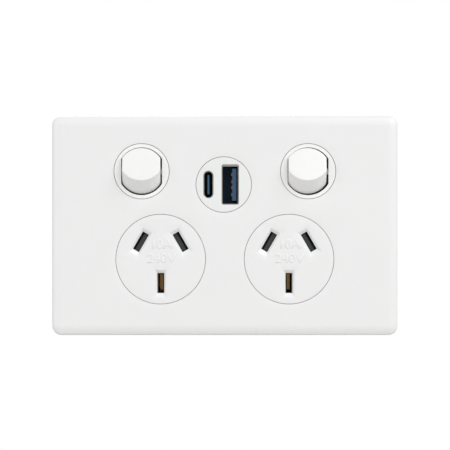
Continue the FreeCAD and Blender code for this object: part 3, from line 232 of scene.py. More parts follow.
def moulded(name, colour, roughness, grain, cloudy=0.015, dust_and_shade=None):
    """Injection-moulded plastic: an even tone with a faint cloud in it and a fine skin.

    The last argument takes the finish and gives a mask and a colour, for dust and painted shade in
    gaps.
    """
    finish = Finish(name, colour, roughness)
    paler = tuple(min(1.0, tone * (1 + cloudy)) for tone in colour)
    darker = tuple(tone * (1 - cloudy) for tone in colour)
    tone = finish.between(finish.noise(CLOUD_SCALE), darker, paler)
    if dust_and_shade:
        mask, dust_and_shade_tone = dust_and_shade(finish)
        tone = finish.between(mask, tone, dust_and_shade_tone)
    finish.set("Base Color", tone)
    sheen = finish.noise(SHEEN_SCALE) * SHEEN_SWING
    finish.set("Roughness", sheen + (roughness - SHEEN_SWING / 2))
    finish.bump(finish.noise(SKIN_SCALE, 1.0), grain, SKIN_HEIGHT)
    return finish.material


LINE_SCALE, AGE_SCALE = 900.0, 140.0
LINE_SWING, AGE_SWING, LINE_BUMP, LINE_HEIGHT = 0.18, 0.1, 0.25, 0.02


def metal(name, colour, stain, roughness):
    """Bare or plated sheet metal: drawn lines, and a stain where the surface is older."""
    finish = Finish(name, colour, roughness, metallic=1.0)
    lines, age = finish.noise(LINE_SCALE, 2.0), finish.noise(AGE_SCALE, 4.0)
    finish.set("Base Color", finish.between(age * age, colour, stain))
    swing = lines * LINE_SWING + age * AGE_SWING
    finish.set("Roughness", swing + (roughness - (LINE_SWING + AGE_SWING) / 2))
    finish.bump(lines, LINE_BUMP, LINE_HEIGHT)
    return finish.material


def dress(material, *nodes):
    for name in nodes:
        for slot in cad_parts[name].material_slots:
            slot.material = material


def middle(node):
    low, high = low_and_high(node)
    return (low + high) / 2


LETTER_RAISE, LETTER_THIN, CAPITAL_SHARE = 0.17, 0.06, 0.7


def raised_text(name, words, tall, wide, place, material, behind=False):
    """Thin raised letters in a plain built-in face, on a front, or on a back."""
    curve = bpy.data.curves.new(name, "FONT")
    curve.body = words
    curve.size = tall / CAPITAL_SHARE * MM
    curve.align_x, curve.align_y = "CENTER", "CENTER"
    curve.bevel_depth = LETTER_RAISE * MM
    curve.offset = -LETTER_THIN * MM
    curve.bevel_resolution = 2
    curve.resolution_u = 4
    drawn = bpy.data.objects.new(name, curve)
    scene.collection.objects.link(drawn)
    bpy.context.view_layer.update()
    ready = drawn.evaluated_get(bpy.context.evaluated_depsgraph_get())
    data = bpy.data.meshes.new_from_object(ready)
    bpy.data.objects.remove(drawn)
    reach = [vertex.co.x for vertex in data.vertices]
    stretch = wide * MM / (max(reach) - min(reach))
    way = -1 if behind else 1
    for vertex in data.vertices:
        x, z, y = vertex.co
        vertex.co = Vector((way * x * stretch, -way * y, z)) + Vector(place) * MM
    data.materials.clear()
    data.materials.append(material)
    piece = bpy.data.objects.new(name, data)
    scene.collection.objects.link(piece)
    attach(piece, "root")


TERMINALS = {"active": "A", "loop": "L", "earth": "E", "neutral": "N"}
MARK_TALL, MARK_WIDE, MARK_DROP = 2.8, 2.0, 4.9
base_white = moulded("base_white", (0.78, 0.78, 0.755), 0.42, 0.35, cloudy=0.04)
plated_steel = metal("plated_steel", (0.68, 0.68, 0.66), (0.5, 0.48, 0.42), 0.32)
dress(base_white, "rear_housing")
dress(plated_steel, "case_screws")
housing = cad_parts["rear_housing"]
corners = [housing.matrix_world @ vertex.co / MM for vertex in housing.data.vertices]
for name, letter in TERMINALS.items():
    spot = middle(f"{name}_screw")
    behind = max(y for x, y, z in corners
                 if abs(x - spot.x) < MARK_DROP and abs(z - spot.z) < MARK_DROP)
    raised_text(f"mark_{name}", letter, MARK_TALL, MARK_WIDE,
                (spot.x, behind, spot.z - MARK_DROP), base_white, behind=True)


# The strips are stamped from brass sheet and folded. The terminals are sawn from brass bar, and
# their slotted screws are plated steel.
SIDES = ("left", "right")
brass = metal("brass", (0.76, 0.515, 0.235), (0.52, 0.315, 0.135), 0.38)
dress(brass, "active_bus", "neutral_bar", "earth_bar", "usb_active_feed", "usb_neutral_feed")
for side in SIDES:
    dress(brass, f"active_contact_{side}", f"contact_arm_{side}")
for name in TERMINALS:
    dress(brass, f"{name}_terminal")
    dress(plated_steel, f"{name}_screw")


# The USB charger: a black case in the housing's well, a green board, a ferrite transformer wound
# in yellow tape, two cans and a chip. Its two ports are steel shells round a blue-grey tongue.
def circuit_board():
    """Green lacquer over tracks, which show as paler stripes in some places."""
    finish = Finish("board_green", (0.01, 0.12, 0.05), 0.35, coat=0.3)
    tracks, patches = finish.noise(700.0, 1.0, (1, 1, 0.15)), finish.noise(300.0, 1.0)
    masked = (tracks < 0.52) * (patches < 0.55)
    finish.set("Base Color", finish.between(masked, (0.008, 0.09, 0.035), (0.02, 0.2, 0.08)))
    return finish.material


def wound_tape():
    """Yellow tape in even turns, with a ridge where each overlaps the one below."""
    finish = Finish("winding_tape", (0.8, 0.55, 0.08), 0.4)
    wraps = finish.node("ShaderNodeTexWave", {"bands_direction": "Y"},
                        {"Vector": finish.place, "Scale": 420.0})
    finish.set("Base Color", finish.between(wraps, (0.62, 0.4, 0.05), (0.85, 0.6, 0.12)))
    finish.bump(wraps, 0.5, 0.1)
    return finish.material


RIDGE_HALF, OFF_RIDGE_SHADE = 0.13, 0.75
TONGUE_MOUTH, TONGUE_ROOT = -6.0, 1.0
MOTTLE = 0.1


def port_insulator(name, colour, deep, ridge=None):
    """Blue-grey plastic, with another tone painted in at the bottom of the port for the shade
    there, where little light comes in.

    The fine tongue also has painted shade either side of a narrow pale band along its middle.
    """
    finish = Finish(name, colour, 0.55)
    finish.set("Specular IOR Level", 0.2)
    # Painted shade: deeper in the port, and either side of the fine tongue's middle band, the
    # plastic takes the dark tone.
    painted_shade = finish.fade(TONGUE_MOUTH, TONGUE_ROOT) + finish.noise(LINE_SCALE) * MOTTLE
    if ridge is not None:
        off_middle = finish.along("X") - ridge * MM
        pale_band = off_middle * off_middle < (RIDGE_HALF * MM) ** 2
        painted_shade = painted_shade + (1 - pale_band) * OFF_RIDGE_SHADE
    finish.set("Base Color", finish.between(painted_shade, colour, deep))
    finish.bump(finish.noise(2600.0, 2.0), 0.2, 0.03)
    return finish.material


LIP_BRIGHT, LIP_DARK = -8.75, -8.3


def port_shell():
    """Plated sheet, pale at the lip and with painted shade inside, darker deeper in, where little
    light reaches.
    """
    bright = (0.32, 0.3, 0.28)
    finish = Finish("port_steel", bright, 0.36, metallic=1.0)
    lines = finish.noise(LINE_SCALE, 2.0, (1, 0.2, 1))
    # Painted shade: the steel darkens from the lip inwards.
    painted_shade = finish.fade(LIP_BRIGHT, LIP_DARK) + lines * MOTTLE
    finish.set("Base Color", finish.between(painted_shade, bright, (0.1, 0.12, 0.14)))
    finish.set("Roughness", lines * LINE_SWING + 0.24)
    finish.bump(lines, LINE_BUMP, LINE_HEIGHT)
    return finish.material


port_steel = port_shell()
wide_tongue = port_insulator("wide_tongue", (0.045, 0.095, 0.165), (0.06, 0.11, 0.17))
fine_tongue = port_insulator("fine_tongue", (0.07, 0.16, 0.26), (0.02, 0.05, 0.08),
                             ridge=middle("usb_c_tongue").x)
dress(moulded("dark_case", (0.03, 0.03, 0.032), 0.45, 0.5), "usb_housing")
dress(circuit_board(), "usb_board")
dress(moulded("ferrite", (0.06, 0.06, 0.065), 0.6, 1.0), "usb_transformer")
dress(wound_tape(), "usb_winding")
dress(metal("can_aluminium", (0.7, 0.7, 0.72), (0.55, 0.55, 0.56), 0.3), "usb_capacitors")
dress(moulded("chip_black", (0.02, 0.02, 0.02), 0.5, 0.6), "usb_controller")
dress(wide_tongue, "usb_a_tongue")
dress(fine_tongue, "usb_c_tongue")
dress(metal("gilt", (0.24, 0.14, 0.045), (0.1, 0.06, 0.03), 0.5), "usb_a_contacts")
# Painted shade: the fine port's gilt contacts are coloured dark grey for the shade deep in the
# port.
dress(metal("painted_shade_gilt", (0.06, 0.07, 0.08), (0.03, 0.03, 0.035), 0.5), "usb_c_contacts")


# The two ports. Each shell is folded from thin steel sheet, and its lip shows as a grey line
# round the inside, which is painted dark as shade. The hole in the module's face is a hair larger.
TIGHTEST = 0.15


def rounded_box(half_x, half_z, corner, steps=8):
    """An outline: it takes how far it grows, and gives its points (x, z) about its middle.

    A rounded edge is a stack of the same outline at several sizes and depths.
    """
    def outline(grow):
        points = []
        radius = max(corner + grow, TIGHTEST)
        for count, (way_x, way_z) in enumerate(((1, 1), (1, -1), (-1, -1), (-1, 1))):
            centre_x = way_x * (half_x + grow - radius)
            centre_z = way_z * (half_z + grow - radius)
            for step in range(steps + 1):
                turn = math.radians(90 * count + 90 * step / steps)
                points.append((centre_x + radius * math.sin(turn),
                               centre_z + radius * math.cos(turn)))
        return points
    return outline


def moved(outline, x=0.0, z=0.0, lean=0.0):
    """The same outline somewhere else, leaning by an angle in degrees about the Y axis."""
    turn = math.radians(lean)
    cosine, sine = math.cos(turn), math.sin(turn)
    return lambda grow: [(x + a * cosine + b * sine, z - a * sine + b * cosine)
                         for a, b in outline(grow)]


def ring(outline, grow, depth):
    return [(x, depth, z) for x, z in outline(grow)]


def eased(outline, depth, radius, way=-1, steps=5):
    """Rings round an edge, from the face to the wall. way is -1 on an outside, 1 on a hole."""
    rings = []
    for step in range(steps + 1):
        angle = math.radians(90 * step / steps)
        inset = radius * (1 - math.sin(angle))
        rings.append(ring(outline, way * inset, depth + radius * (1 - math.cos(angle))))
    return rings


def skin(mesh, rings):
    """Joins a stack of rings with bands of faces and returns the first and last rings."""
    stack = [[mesh.verts.new(point) for point in points] for points in rings]
    for above, below in zip(stack, stack[1:]):
        for step in range(len(above)):
            after = (step + 1) % len(above)
            mesh.faces.new((above[step], above[after], below[after], below[step]))
    return stack[0], stack[-1]


def inside(point, loop):
    x, z = point
    odd = False
    for (ax, az), (bx, bz) in zip(loop, loop[1:] + loop[:1]):
        if (az > z) != (bz > z) and x < (bx - ax) * (z - az) / (bz - az) + ax:
            odd = not odd
    return odd


def near(point, loop, reach):
    return any(abs(point[0] - x) < reach and abs(point[1] - z) < reach for x, z in loop)


CLEAR_SHARE, START_SHARE, SAME_SPOT = 0.55, 0.25, 1e-6


def spread(outer, holes, spacing):
    """Even spots between an outline and its holes, so that a wide front has no long triangles."""
    low_x, high_x = min(x for x, z in outer), max(x for x, z in outer)
    low_z, high_z = min(z for x, z in outer), max(z for x, z in outer)
    spots = []
    for row in range(1, int((high_z - low_z) / spacing) + 1):
        shift = 0.5 * (row % 2) + START_SHARE
        for column in range(int((high_x - low_x) / spacing) + 1):
            spot = (low_x + (column + shift) * spacing, low_z + row * spacing)
            clear = inside(spot, outer) and not any(inside(spot, hole) for hole in holes)
            reach = spacing * CLEAR_SHARE
            if clear and not any(near(spot, loop, reach) for loop in [outer] + holes):
                spots.append(spot)
    return spots


def fill(mesh, outer, holes, depth, spacing=None):
    """Closes the space between a ring and the rings of its holes, at one depth."""
    loops = [outer] + holes
    corners = [vertex for loop in loops for vertex in loop]
    flat = [(vertex.co.x, vertex.co.z) for vertex in corners]
    shapes, edges, start = [], [], 0
    for loop in loops:
        count = len(loop)
        shapes.append(flat[start:start + count])
        edges += [(start + step, start + (step + 1) % count) for step in range(count)]
        start += count
    spots = spread(shapes[0], shapes[1:], spacing) if spacing else []
    points, _, faces, origins, _, _ = delaunay_2d_cdt(
        [Vector(spot) for spot in flat + spots], edges, [], 0, SAME_SPOT)
    found = {}
    for count, origin in enumerate(origins):
        if origin and origin[0] < len(corners):
            found[count] = corners[origin[0]]
    for face in faces:
        centre = sum((points[count] for count in face), Vector((0, 0))) / len(face)
        if not inside(centre, shapes[0]) or any(inside(centre, hole) for hole in shapes[1:]):
            continue
        for count in face:
            if count not in found:
                x, z = points[count]
                found[count] = mesh.verts.new((x, depth, z))
        mesh.faces.new([found[count] for count in face])


def solid(name, mesh, place):
    """A drawn mesh as an object in metres, with its shape moved to its place."""
    bmesh.ops.recalc_face_normals(mesh, faces=mesh.faces)
    for vertex in mesh.verts:
        vertex.co = (vertex.co + Vector(place)) * MM
    data = bpy.data.meshes.new(name)
    mesh.to_mesh(data)
    mesh.free()
    made = bpy.data.objects.new(name, data)
    scene.collection.objects.link(made)
    return made


def carved(piece, tool):
    """Cuts one object out of another for good."""
    cut = piece.modifiers.new("cut", "BOOLEAN")
    cut.object = tool
    bpy.context.view_layer.update()
    ready = piece.evaluated_get(bpy.context.evaluated_depsgraph_get())
    piece.data = bpy.data.meshes.new_from_object(ready)
    piece.modifiers.clear()
    bpy.data.objects.remove(tool)


SHARP = math.radians(32)


def finished(name, mesh, place, material, body, replaced, cutters=()):
    """Turns a drawn mesh into a piece, hangs it on its body, and hides the part that it stands
    for.
    """
    piece = solid(name, mesh, place)
    for cutter in cutters:
        carved(piece, solid("cutter", cutter, place))
    data = piece.data
    data.polygons.foreach_set("use_smooth", [True] * len(data.polygons))
    data.set_sharp_from_angle(angle=SHARP)
    data.materials.clear()
    data.materials.append(material)
    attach(piece, body)
    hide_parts(replaced)


SHELL_SHEET, LIP_EDGE, HOLLOW_ROUNDER = 0.18, 0.06, 0.02
SHELL_CORNER = {"a": 0.5, "c": 1.55}
LIP = {"a": 0.19, "c": 0.02}
for port, corner in SHELL_CORNER.items():
    low, high = low_and_high(f"usb_{port}_shell")
    half = (high - low) / 2
    outside = rounded_box(half.x, half.z, corner)
    hollow = rounded_box(half.x - SHELL_SHEET, half.z - SHELL_SHEET - LIP[port],
                         corner - SHELL_SHEET + HOLLOW_ROUNDER)
    hollow = moved(hollow, 0, -LIP[port])
    port_mesh, front, rear = bmesh.new(), 0.0, high.y - low.y
    ends = []
    for outline, way in ((outside, -1), (hollow, 1)):
        rings = eased(outline, front, LIP_EDGE, way, steps=3) + [ring(outline, 0, rear)]
        ends.append(skin(port_mesh, rings))
    fill(port_mesh, ends[0][0], [ends[1][0]], front)
    fill(port_mesh, ends[0][1], [ends[1][1]], rear)
    spot = middle(f"usb_{port}_shell")
    finished(f"port_{port}", port_mesh, (spot.x, low.y, spot.z), port_steel,
             "root", f"usb_{port}_shell")


# The USB module's face is a disc in the plate's middle hole, a shade greener than the plate. A
# flange behind the plate rests on the mounting frame, and its two holes take the ports.
EDGE, FLANGE_EDGE = 0.08, 0.2
FLANGE_FRONT, FRAME_FRONT = -6.6, -4.6


def circle(radius, count=120):
    return lambda grow: [((radius + grow) * math.sin(turn), (radius + grow) * math.cos(turn))
                         for turn in (math.tau * step / count for step in range(count))]


def flanged(disc, flange, front):
    """Rings from a disc's front edge over its flange to the flange's back, on the frame."""
    rings = eased(circle(disc), front, EDGE)
    rings.append(ring(circle(disc), 0, FLANGE_FRONT))
    rings.append(ring(circle(flange), -FLANGE_EDGE, FLANGE_FRONT))
    rings.append(ring(circle(flange), 0, FLANGE_FRONT + FLANGE_EDGE))
    rings.append(ring(circle(flange), 0, FRAME_FRONT))
    return rings


USB_DISC, PORT_GAP, MOUTH_EDGE = 9.55, 0.1, 0.2
MOUTH_CORNER = {"a": 0.6, "c": 1.7}
module_white = moulded("module_white", (0.845, 0.86, 0.85), 0.3, 0.03)
low, high = low_and_high("usb_face")
centre, front = middle("usb_face"), low.y
face_mesh = bmesh.new()
first, last = skin(face_mesh, flanged(USB_DISC, (high.x - low.x) / 2, front))
mouths, ends = [], []
for port, corner in MOUTH_CORNER.items():
    port_low, port_high = low_and_high(f"usb_{port}_shell")
    half = (port_high - port_low) / 2
    spot = middle(f"usb_{port}_shell") - centre
    hole = moved(rounded_box(half.x + PORT_GAP, half.z + PORT_GAP, corner), spot.x, spot.z)
    rings = eased(hole, front, MOUTH_EDGE, way=1, steps=4) + [ring(hole, 0, FRAME_FRONT)]
    mouth, end = skin(face_mesh, rings)
    mouths.append(mouth)
    ends.append(end)
fill(face_mesh, first, mouths, front, spacing=1.2)
fill(face_mesh, last, ends, FRAME_FRONT, spacing=2.4)
finished("module_face", face_mesh, (centre.x, 0, centre.z), module_white,
         "root", "usb_face")


# The mounting frame lies behind the cover plate. It is stiff white plastic, and only its edges
# and its back are seen.
satin_white = moulded("satin_white", (0.82, 0.82, 0.81), 0.36, 0.3, cloudy=0.03)
dress(satin_white, "mounting_frame")


# Behind each socket's face lie the dark shutter of the live slots, its small steel spring, and the
# guide plate that it slides on. The spring stands on the guide's post. A rocker's sprung plunger
# has the same plastic and steel.
shutter_grey = moulded("shutter_grey", (0.02, 0.025, 0.023), 0.42, 0.4)
spring_steel = metal("spring_steel", (0.5, 0.5, 0.5), (0.35, 0.35, 0.36), 0.3)
for side in SIDES:
    dress(shutter_grey, f"shutter_{side}")
    dress(spring_steel, f"plunger_spring_{side}")
    dress(satin_white, f"pin_guide_{side}", f"rocker_plunger_{side}")
    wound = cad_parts[f"shutter_spring_{side}"]
    coil = bpy.data.objects.new(f"return_spring_{side}", wound.data.copy())
    coil.matrix_world = wound.matrix_world
    coil.data.materials.clear()
    coil.data.materials.append(spring_steel)
    scene.collection.objects.link(coil)
    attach(coil, "root")
    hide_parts(f"shutter_spring_{side}")
    low, high = low_and_high(f"shutter_spring_{side}")
    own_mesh(coil)


# The socket faces are glossy white discs, flush with the plate. Each has three bevelled slots:
# the live ones lean towards each other at the top, and the earth slot stands upright below.
SOCKET_DISC, SKIRT, SKIRT_WALL, FACE_WALL, FRAME_BACK = 15.45, 14.8, 1.4, 2.5, -2.2
PIN_RISE, LIVE_OUT, LIVE_UP, EARTH_DOWN, LEAN = 2.04, 6.86, 3.96, 10.31, 30.0
SLOT_LONG, SLOT_WIDE, SLOT_CORNER, MOUTH_ROUND = 6.95, 2.4, 0.2, 0.35
LEAD_SIDE, LEAD_TOP, LEAD_FOOT, LEAD_DEEP = 0.65, 1.0, 1.4, 0.8
LEAD_START = ((0.1, 0.0), (0.02, 0.03), (-0.05, 0.1))
LEAD_END = ((0.06, LEAD_DEEP - 0.06), (0.0, LEAD_DEEP + 0.05))


def slot_rings(x, z, lean, front, back):
    """Rings from a slot's bevelled mouth, which is longer at its foot, to its end behind."""
    turn = math.radians(lean)
    shift = (LEAD_TOP - LEAD_FOOT) / 2
    mouth = rounded_box(SLOT_WIDE / 2 + LEAD_SIDE, SLOT_LONG / 2 + (LEAD_TOP + LEAD_FOOT) / 2,
                        MOUTH_ROUND, 5)
    mouth = moved(mouth, x + shift * math.sin(turn), z + shift * math.cos(turn), lean)
    slot = moved(rounded_box(SLOT_WIDE / 2, SLOT_LONG / 2, SLOT_CORNER, 5), x, z, lean)
    rings = [ring(mouth, grow, front + depth) for grow, depth in LEAD_START]
    rings += [ring(slot, grow, front + depth) for grow, depth in LEAD_END]
    return rings + [ring(slot, 0, back)]


PIN_SLOTS = ((-LIVE_OUT, LIVE_UP, LEAN), (LIVE_OUT, LIVE_UP, -LEAN), (0, -EARTH_DOWN, 0))
gloss_white = moulded("gloss_white", (0.86, 0.86, 0.86), 0.3, 0.03)
for side in SIDES:
    low, high = low_and_high(f"socket_face_{side}")
    centre, front, back = middle(f"socket_face_{side}"), low.y, low.y + FACE_WALL
    face_mesh = bmesh.new()
    rings = flanged(SOCKET_DISC, (high.x - low.x) / 2, front)
    rings += [ring(circle(SKIRT), 0, depth) for depth in (FRAME_FRONT, FRAME_BACK)]
    rings += [ring(circle(SKIRT - SKIRT_WALL), 0, depth) for depth in (FRAME_BACK, back)]
    first, last = skin(face_mesh, rings)
    mouths, ends = [], []
    for x, z, lean in PIN_SLOTS:
        mouth, end = skin(face_mesh, slot_rings(x, z + PIN_RISE, lean, front, back))
        mouths.append(mouth)
        ends.append(end)
    fill(face_mesh, first, mouths, front, spacing=1.8)
    fill(face_mesh, last, ends, back, spacing=2.5)
    finished(f"socket_disc_{side}", face_mesh, (centre.x, 0, centre.z), gloss_white,
             "root", f"socket_face_{side}")


# The rating stands between the slots, in thin raised letters of the face's own plastic. The
# letters are a plain built-in face, and too low to show except where light grazes them.
LETTER_TALL = 3.1
RATING = (("current", "10A", 7.0, 0.1, 5.1), ("voltage", "240V", 10.1, 0.2, 0.2))
for side in SIDES:
    centre, front = middle(f"socket_face_{side}"), low_and_high(f"socket_face_{side}")[0].y
    for name, words, wide, across, rise in RATING:
        raised_text(f"{name}_{side}", words, LETTER_TALL, wide,
                    (centre.x + across, front, centre.z + rise), gloss_white)


# Each switch has a round collar with an opening that fits its rocker: round above and below, flat
# at the sides. The collar is flush with the plate. Its sides hold the rocker's axles, which snap
# in from behind.
SWITCH_DISC, OPENING, OPENING_HALF, OPENING_EDGE = 9.5, 8.25, 7.05, 0.12
ROCKER_DEPTH, AXLE_RADIUS, AXLE_REACH = 6.0, 1.2, 8.0
AXLE_GAP, AXLE_END_GAP, SNAP_HALF = 0.05, 0.2, 1.1


def flat_sided(radius, half, count=48, sides=10):
    """A circle with its two sides cut off straight."""
    def outline(grow):
        size, cut = radius + grow, half + grow
        reach = math.asin(min(cut / size, 1.0))
        points = []
        for way in (1, -1):
            for step in range(count + 1):
                turn = -reach + 2 * reach * step / count
                points.append((way * size * math.sin(turn), way * size * math.cos(turn)))
            height = size * math.cos(reach)
            points += [(way * cut, way * height * (1 - 2 * step / sides))
                       for step in range(1, sides)]
        return points
    return outline


def slab(mesh, low, high):
    """A plain block, for cutters and for lugs that are joined to a moulding."""
    corners = [mesh.verts.new((x, y, z)) for x in (low[0], high[0]) for y in (low[1], high[1])
               for z in (low[2], high[2])]
    for face in ((0, 1, 3, 2), (4, 6, 7, 5), (0, 4, 5, 1),
                 (2, 3, 7, 6), (0, 2, 6, 4), (1, 5, 7, 3)):
        mesh.faces.new([corners[count] for count in face])


def axle(mesh, depth, reach, radius, count=32):
    """A closed round bar from side to side, at a depth."""
    rings = []
    for x in (-reach, reach):
        turns = [math.tau * step / count for step in range(count)]
        rings.append([(x, depth + radius * math.cos(turn), radius * math.sin(turn))
                      for turn in turns])
    first, last = skin(mesh, rings)
    mesh.faces.new(first)
    mesh.faces.new(last)


# Painted light: the collar's white is paler than the plate's, to lift the shade that the rocker
# casts on it.
collar_painted_light = moulded("collar_painted_light", (0.93, 0.93, 0.93), 0.3, 0.03)
opening = flat_sided(OPENING, OPENING_HALF)
for side in SIDES:
    low, high = low_and_high(f"switch_collar_{side}")
    centre, front = middle(f"switch_collar_{side}"), low.y
    collar_mesh = bmesh.new()
    first, last = skin(collar_mesh, flanged(SWITCH_DISC, (high.x - low.x) / 2, front))
    rings = eased(opening, front, OPENING_EDGE, way=1, steps=3) + [ring(opening, 0, FRAME_FRONT)]
    mouth, end = skin(collar_mesh, rings)
    fill(collar_mesh, first, [mouth], front, spacing=0.9)
    fill(collar_mesh, last, [end], FRAME_FRONT)
    seat, snap, reach = bmesh.new(), bmesh.new(), AXLE_REACH + AXLE_END_GAP
    axle(seat, -ROCKER_DEPTH, reach, AXLE_RADIUS + AXLE_GAP)
    slab(snap, (-reach, -ROCKER_DEPTH, -SNAP_HALF), (reach, 0, SNAP_HALF))
    finished(f"collar_{side}", collar_mesh, (centre.x, 0, centre.z), collar_painted_light,
             "root", f"switch_collar_{side}", cutters=(seat, snap))


# The rockers are glossy white buttons on two stub axles. Their ends are curved so that the gap in
# the collar stays even at both ends of the travel. A hollow stem behind holds the sprung plunger.
ROCKER_RADIUS, ROCKER_MIDDLE, ROCKER_HALF = 7.92, 8.05, 6.57
ROCKER_TALL, ROCKER_BACK, ROCKER_TILT = 6.14, 1.0, math.radians(22)
ROCKER_EDGE, EDGE_STEPS, WALL_STEPS = 0.18, 5, 12
PLAY = {"left": (-0.08, 0.15), "right": (-0.28, 0.15)}
STEM_HALF, STEM_CORNER, STEM_END, BORE, BORE_START = 2.3, 0.3, 6.5, 1.35, 0.9


def rocker_ring(side, inset, depth, count=40, sides=8):
    """The rocker's outline at a depth from its axle, inside both curved ends of its travel.

    The photograph's rockers use the play in their openings: they sit a hair high and to the left.
    """
    half = ROCKER_HALF - inset
    points = []
    for way in (1, -1):
        for step in range(count + 1):
            x = half * (-1 + 2 * step / count)
            bow = math.sqrt((ROCKER_RADIUS - inset) ** 2 - x * x)
            tilted = (bow - abs(depth) * math.sin(ROCKER_TILT)) / math.cos(ROCKER_TILT)
            upright = math.sqrt((ROCKER_MIDDLE - inset) ** 2 - x * x)
            points.append((way * x, way * min(tilted, upright)))
        end_x, end_z = points[-1]
        points += [(end_x, end_z * (1 - 2 * step / sides)) for step in range(1, sides)]
    play_x, play_z = PLAY[side]
    return [(x + play_x, depth, z + play_z) for x, z in points]


rocker_white = moulded("rocker_white", (0.88, 0.88, 0.875), 0.3, 0.03)
for side in SIDES:
    centre = middle(f"switch_collar_{side}")
    rocker_mesh = bmesh.new()
    rings = []
    for step in range(EDGE_STEPS + 1):
        angle = math.radians(90 * step / EDGE_STEPS)
        depth = ROCKER_EDGE * (1 - math.cos(angle)) - ROCKER_TALL
        rings.append(rocker_ring(side, ROCKER_EDGE * (1 - math.sin(angle)), depth))
    for step in range(1, WALL_STEPS + 1):
        rings.append(rocker_ring(side, 0, -ROCKER_TALL * (1 - step / WALL_STEPS)))
    rings.append(rocker_ring(side, 0, ROCKER_BACK))
    first, last = skin(rocker_mesh, rings)
    fill(rocker_mesh, first, [], -ROCKER_TALL, spacing=1.0)
    fill(rocker_mesh, last, [], ROCKER_BACK)
    axle(rocker_mesh, 0, AXLE_REACH, AXLE_RADIUS)
    stem, bore = rounded_box(STEM_HALF, STEM_HALF, STEM_CORNER, 4), circle(BORE, 40)
    first, last = skin(rocker_mesh, [ring(stem, 0, depth) for depth in (0, STEM_END)])
    mouth, end = skin(rocker_mesh, [ring(bore, 0, depth) for depth in (STEM_END, BORE_START)])
    fill(rocker_mesh, last, [mouth], STEM_END)
    fill(rocker_mesh, first, [], 0)
    fill(rocker_mesh, end, [], BORE_START)
    cosine, sine = math.cos(-ROCKER_TILT), math.sin(-ROCKER_TILT)
    for vertex in rocker_mesh.verts:
        x, y, z = vertex.co
        vertex.co = (x, y * cosine - z * sine, y * sine + z * cosine)
    finished(f"rocker_button_{side}", rocker_mesh, (centre.x, -ROCKER_DEPTH, centre.z),
             rocker_white, f"{side}_rocker", f"rocker_{side}")


# The cover plate is one glossy white moulding that presses onto the frame with four lugs. Its
# front falls away gently towards a small round edge. It has five round holes, whose gaps hold a
# little dust and painted shade, and a notch below for a screwdriver.
PLATE_CORNER, PLATE_EDGE, PLATE_WALL, HOLE_GAP = 3.2, 1.0, 2.2, 0.13
FALL_WIDE, FALL_SLOPE, SIDE_STEP = 3.5, math.radians(24), 3.0
LUG_PLACE, LUG_WIDTH, LUG_BITE, LUG_ROOT = 35.0, 6.0, 0.8, 0.3
LUG_FRONT, LUG_BACK, PLATE_GAP = -2.0, -0.8, 0.3
NOTCH_HALF, NOTCH_DEEP, NOTCH_SIDE = 4.0, 1.2, 0.02
NOTCH_POINTS = (NOTCH_HALF + NOTCH_SIDE, NOTCH_HALF, 2, 0, -2, -NOTCH_HALF,
                -NOTCH_HALF - NOTCH_SIDE)
DUST_AND_SHADE, DUST_AND_SHADE_START, DUST_AND_SHADE_END = (0.48, 0.28, 0.15), (0.01, 0.08), (1.0, 1.5)
plate_half = (PLATE_HIGH - PLATE_LOW) / 2
plate_front, plate_inside = PLATE_LOW.y, PLATE_LOW.y + PLATE_WALL


def plate_outline(grow):
    """The plate's outline with points along its sides, and two at each side of the notch."""
    outline = rounded_box(plate_half.x, plate_half.z, PLATE_CORNER, 10)
    corners, widest = outline(grow), outline(0)
    lengths = [math.dist(start, end) for start, end in zip(widest, widest[1:] + widest[:1])]
    points = []
    for (ax, az), (bx, bz), length in zip(corners, corners[1:] + corners[:1], lengths):
        points.append((ax, az))
        steps = int(length / SIDE_STEP)
        if steps and az < 0 and abs(az - bz) < SAME_SPOT:
            points += [(x, az) for x in NOTCH_POINTS]
        elif steps:
            points += [(ax + (bx - ax) * step / steps, az + (bz - az) * step / steps)
                       for step in range(1, steps)]
    return points


def rim_ring(grow):
    """The plate's back edge on the wall, which the notch lifts at the bottom."""
    return [(x, -NOTCH_DEEP if z < 0 and abs(x) <= NOTCH_HALF else 0.0, z)
            for x, z in plate_outline(grow)]


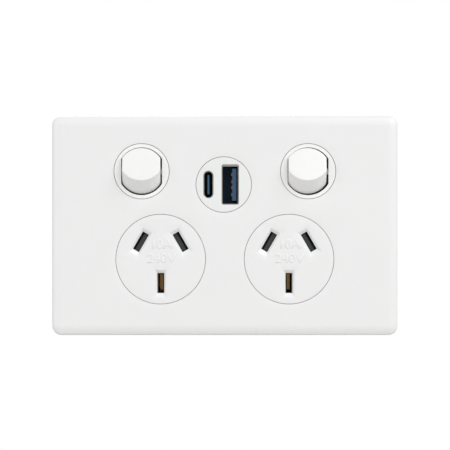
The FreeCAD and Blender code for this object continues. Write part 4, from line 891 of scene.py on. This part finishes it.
def falling_edge(front, steps=8):
    """Rings from the flat front down its gentle fall and round the small edge to the wall."""
    edge_start = PLATE_EDGE * (1 - math.sin(FALL_SLOPE))
    run = FALL_WIDE - edge_start
    drop = run * math.tan(FALL_SLOPE) / 2
    rings = [ring(plate_outline, -FALL_WIDE - EDGE, front)]
    for step in range(steps):
        part = step / steps
        rings.append(ring(plate_outline, -(FALL_WIDE - run * part), front + drop * part * part))
    for step in range(steps + 1):
        angle = FALL_SLOPE + (math.radians(90) - FALL_SLOPE) * step / steps
        depth = front + drop + PLATE_EDGE * (math.cos(FALL_SLOPE) - math.cos(angle))
        rings.append(ring(plate_outline, -PLATE_EDGE * (1 - math.sin(angle)), depth))
    return rings


def dust_and_shade_in_holes(finish):
    """The walls of the holes below the front, toned dark brown, part for dust and part as painted
    shade in the narrow gaps.
    """
    across, up = finish.along("X"), finish.along("Z")
    reach = (plate_half - Vector((FALL_WIDE, 0, FALL_WIDE))) * MM
    inner = (across * across < reach.x ** 2) * (up * up < reach.z ** 2)
    # Dust and painted shade: the gap walls take a dark brown tone between these depths.
    starts, ends = (finish.fade(plate_front + shallow, plate_front + deep)
                    for shallow, deep in (DUST_AND_SHADE_START, DUST_AND_SHADE_END))
    return inner * (starts - ends), DUST_AND_SHADE


plate_mesh = bmesh.new()
rings = falling_edge(plate_front)
rings += [rim_ring(0), rim_ring(-PLATE_WALL), ring(plate_outline, -PLATE_WALL, plate_inside)]
first, last = skin(plate_mesh, rings)
mouths, ends = [], []
for node, radius in (("socket_face_left", SOCKET_DISC), ("socket_face_right", SOCKET_DISC),
                     ("switch_collar_left", SWITCH_DISC), ("switch_collar_right", SWITCH_DISC),
                     ("usb_face", USB_DISC)):
    spot = middle(node)
    hole = moved(circle(radius + HOLE_GAP), spot.x, spot.z)
    rings = eased(hole, plate_front, EDGE, way=1, steps=4) + [ring(hole, 0, plate_inside)]
    mouth, end = skin(plate_mesh, rings)
    mouths.append(mouth)
    ends.append(end)
fill(plate_mesh, first, mouths, plate_front, spacing=2.4)
fill(plate_mesh, last, ends, plate_inside, spacing=6.0)
inner = plate_half.z - PLATE_WALL
for x in (-LUG_PLACE, LUG_PLACE):
    for way in (1, -1):
        foot, head = sorted((way * (inner - PLATE_GAP - LUG_BITE), way * (inner + LUG_ROOT)))
        slab(plate_mesh, (x - LUG_WIDTH / 2, LUG_FRONT, foot), (x + LUG_WIDTH / 2, LUG_BACK, head))
plate_white = moulded("plate_white", (0.86, 0.86, 0.86), 0.3, 0.03, dust_and_shade=dust_and_shade_in_holes)
finished("plate", plate_mesh, (0, 0, 0), plate_white, "root", "cover_plate")
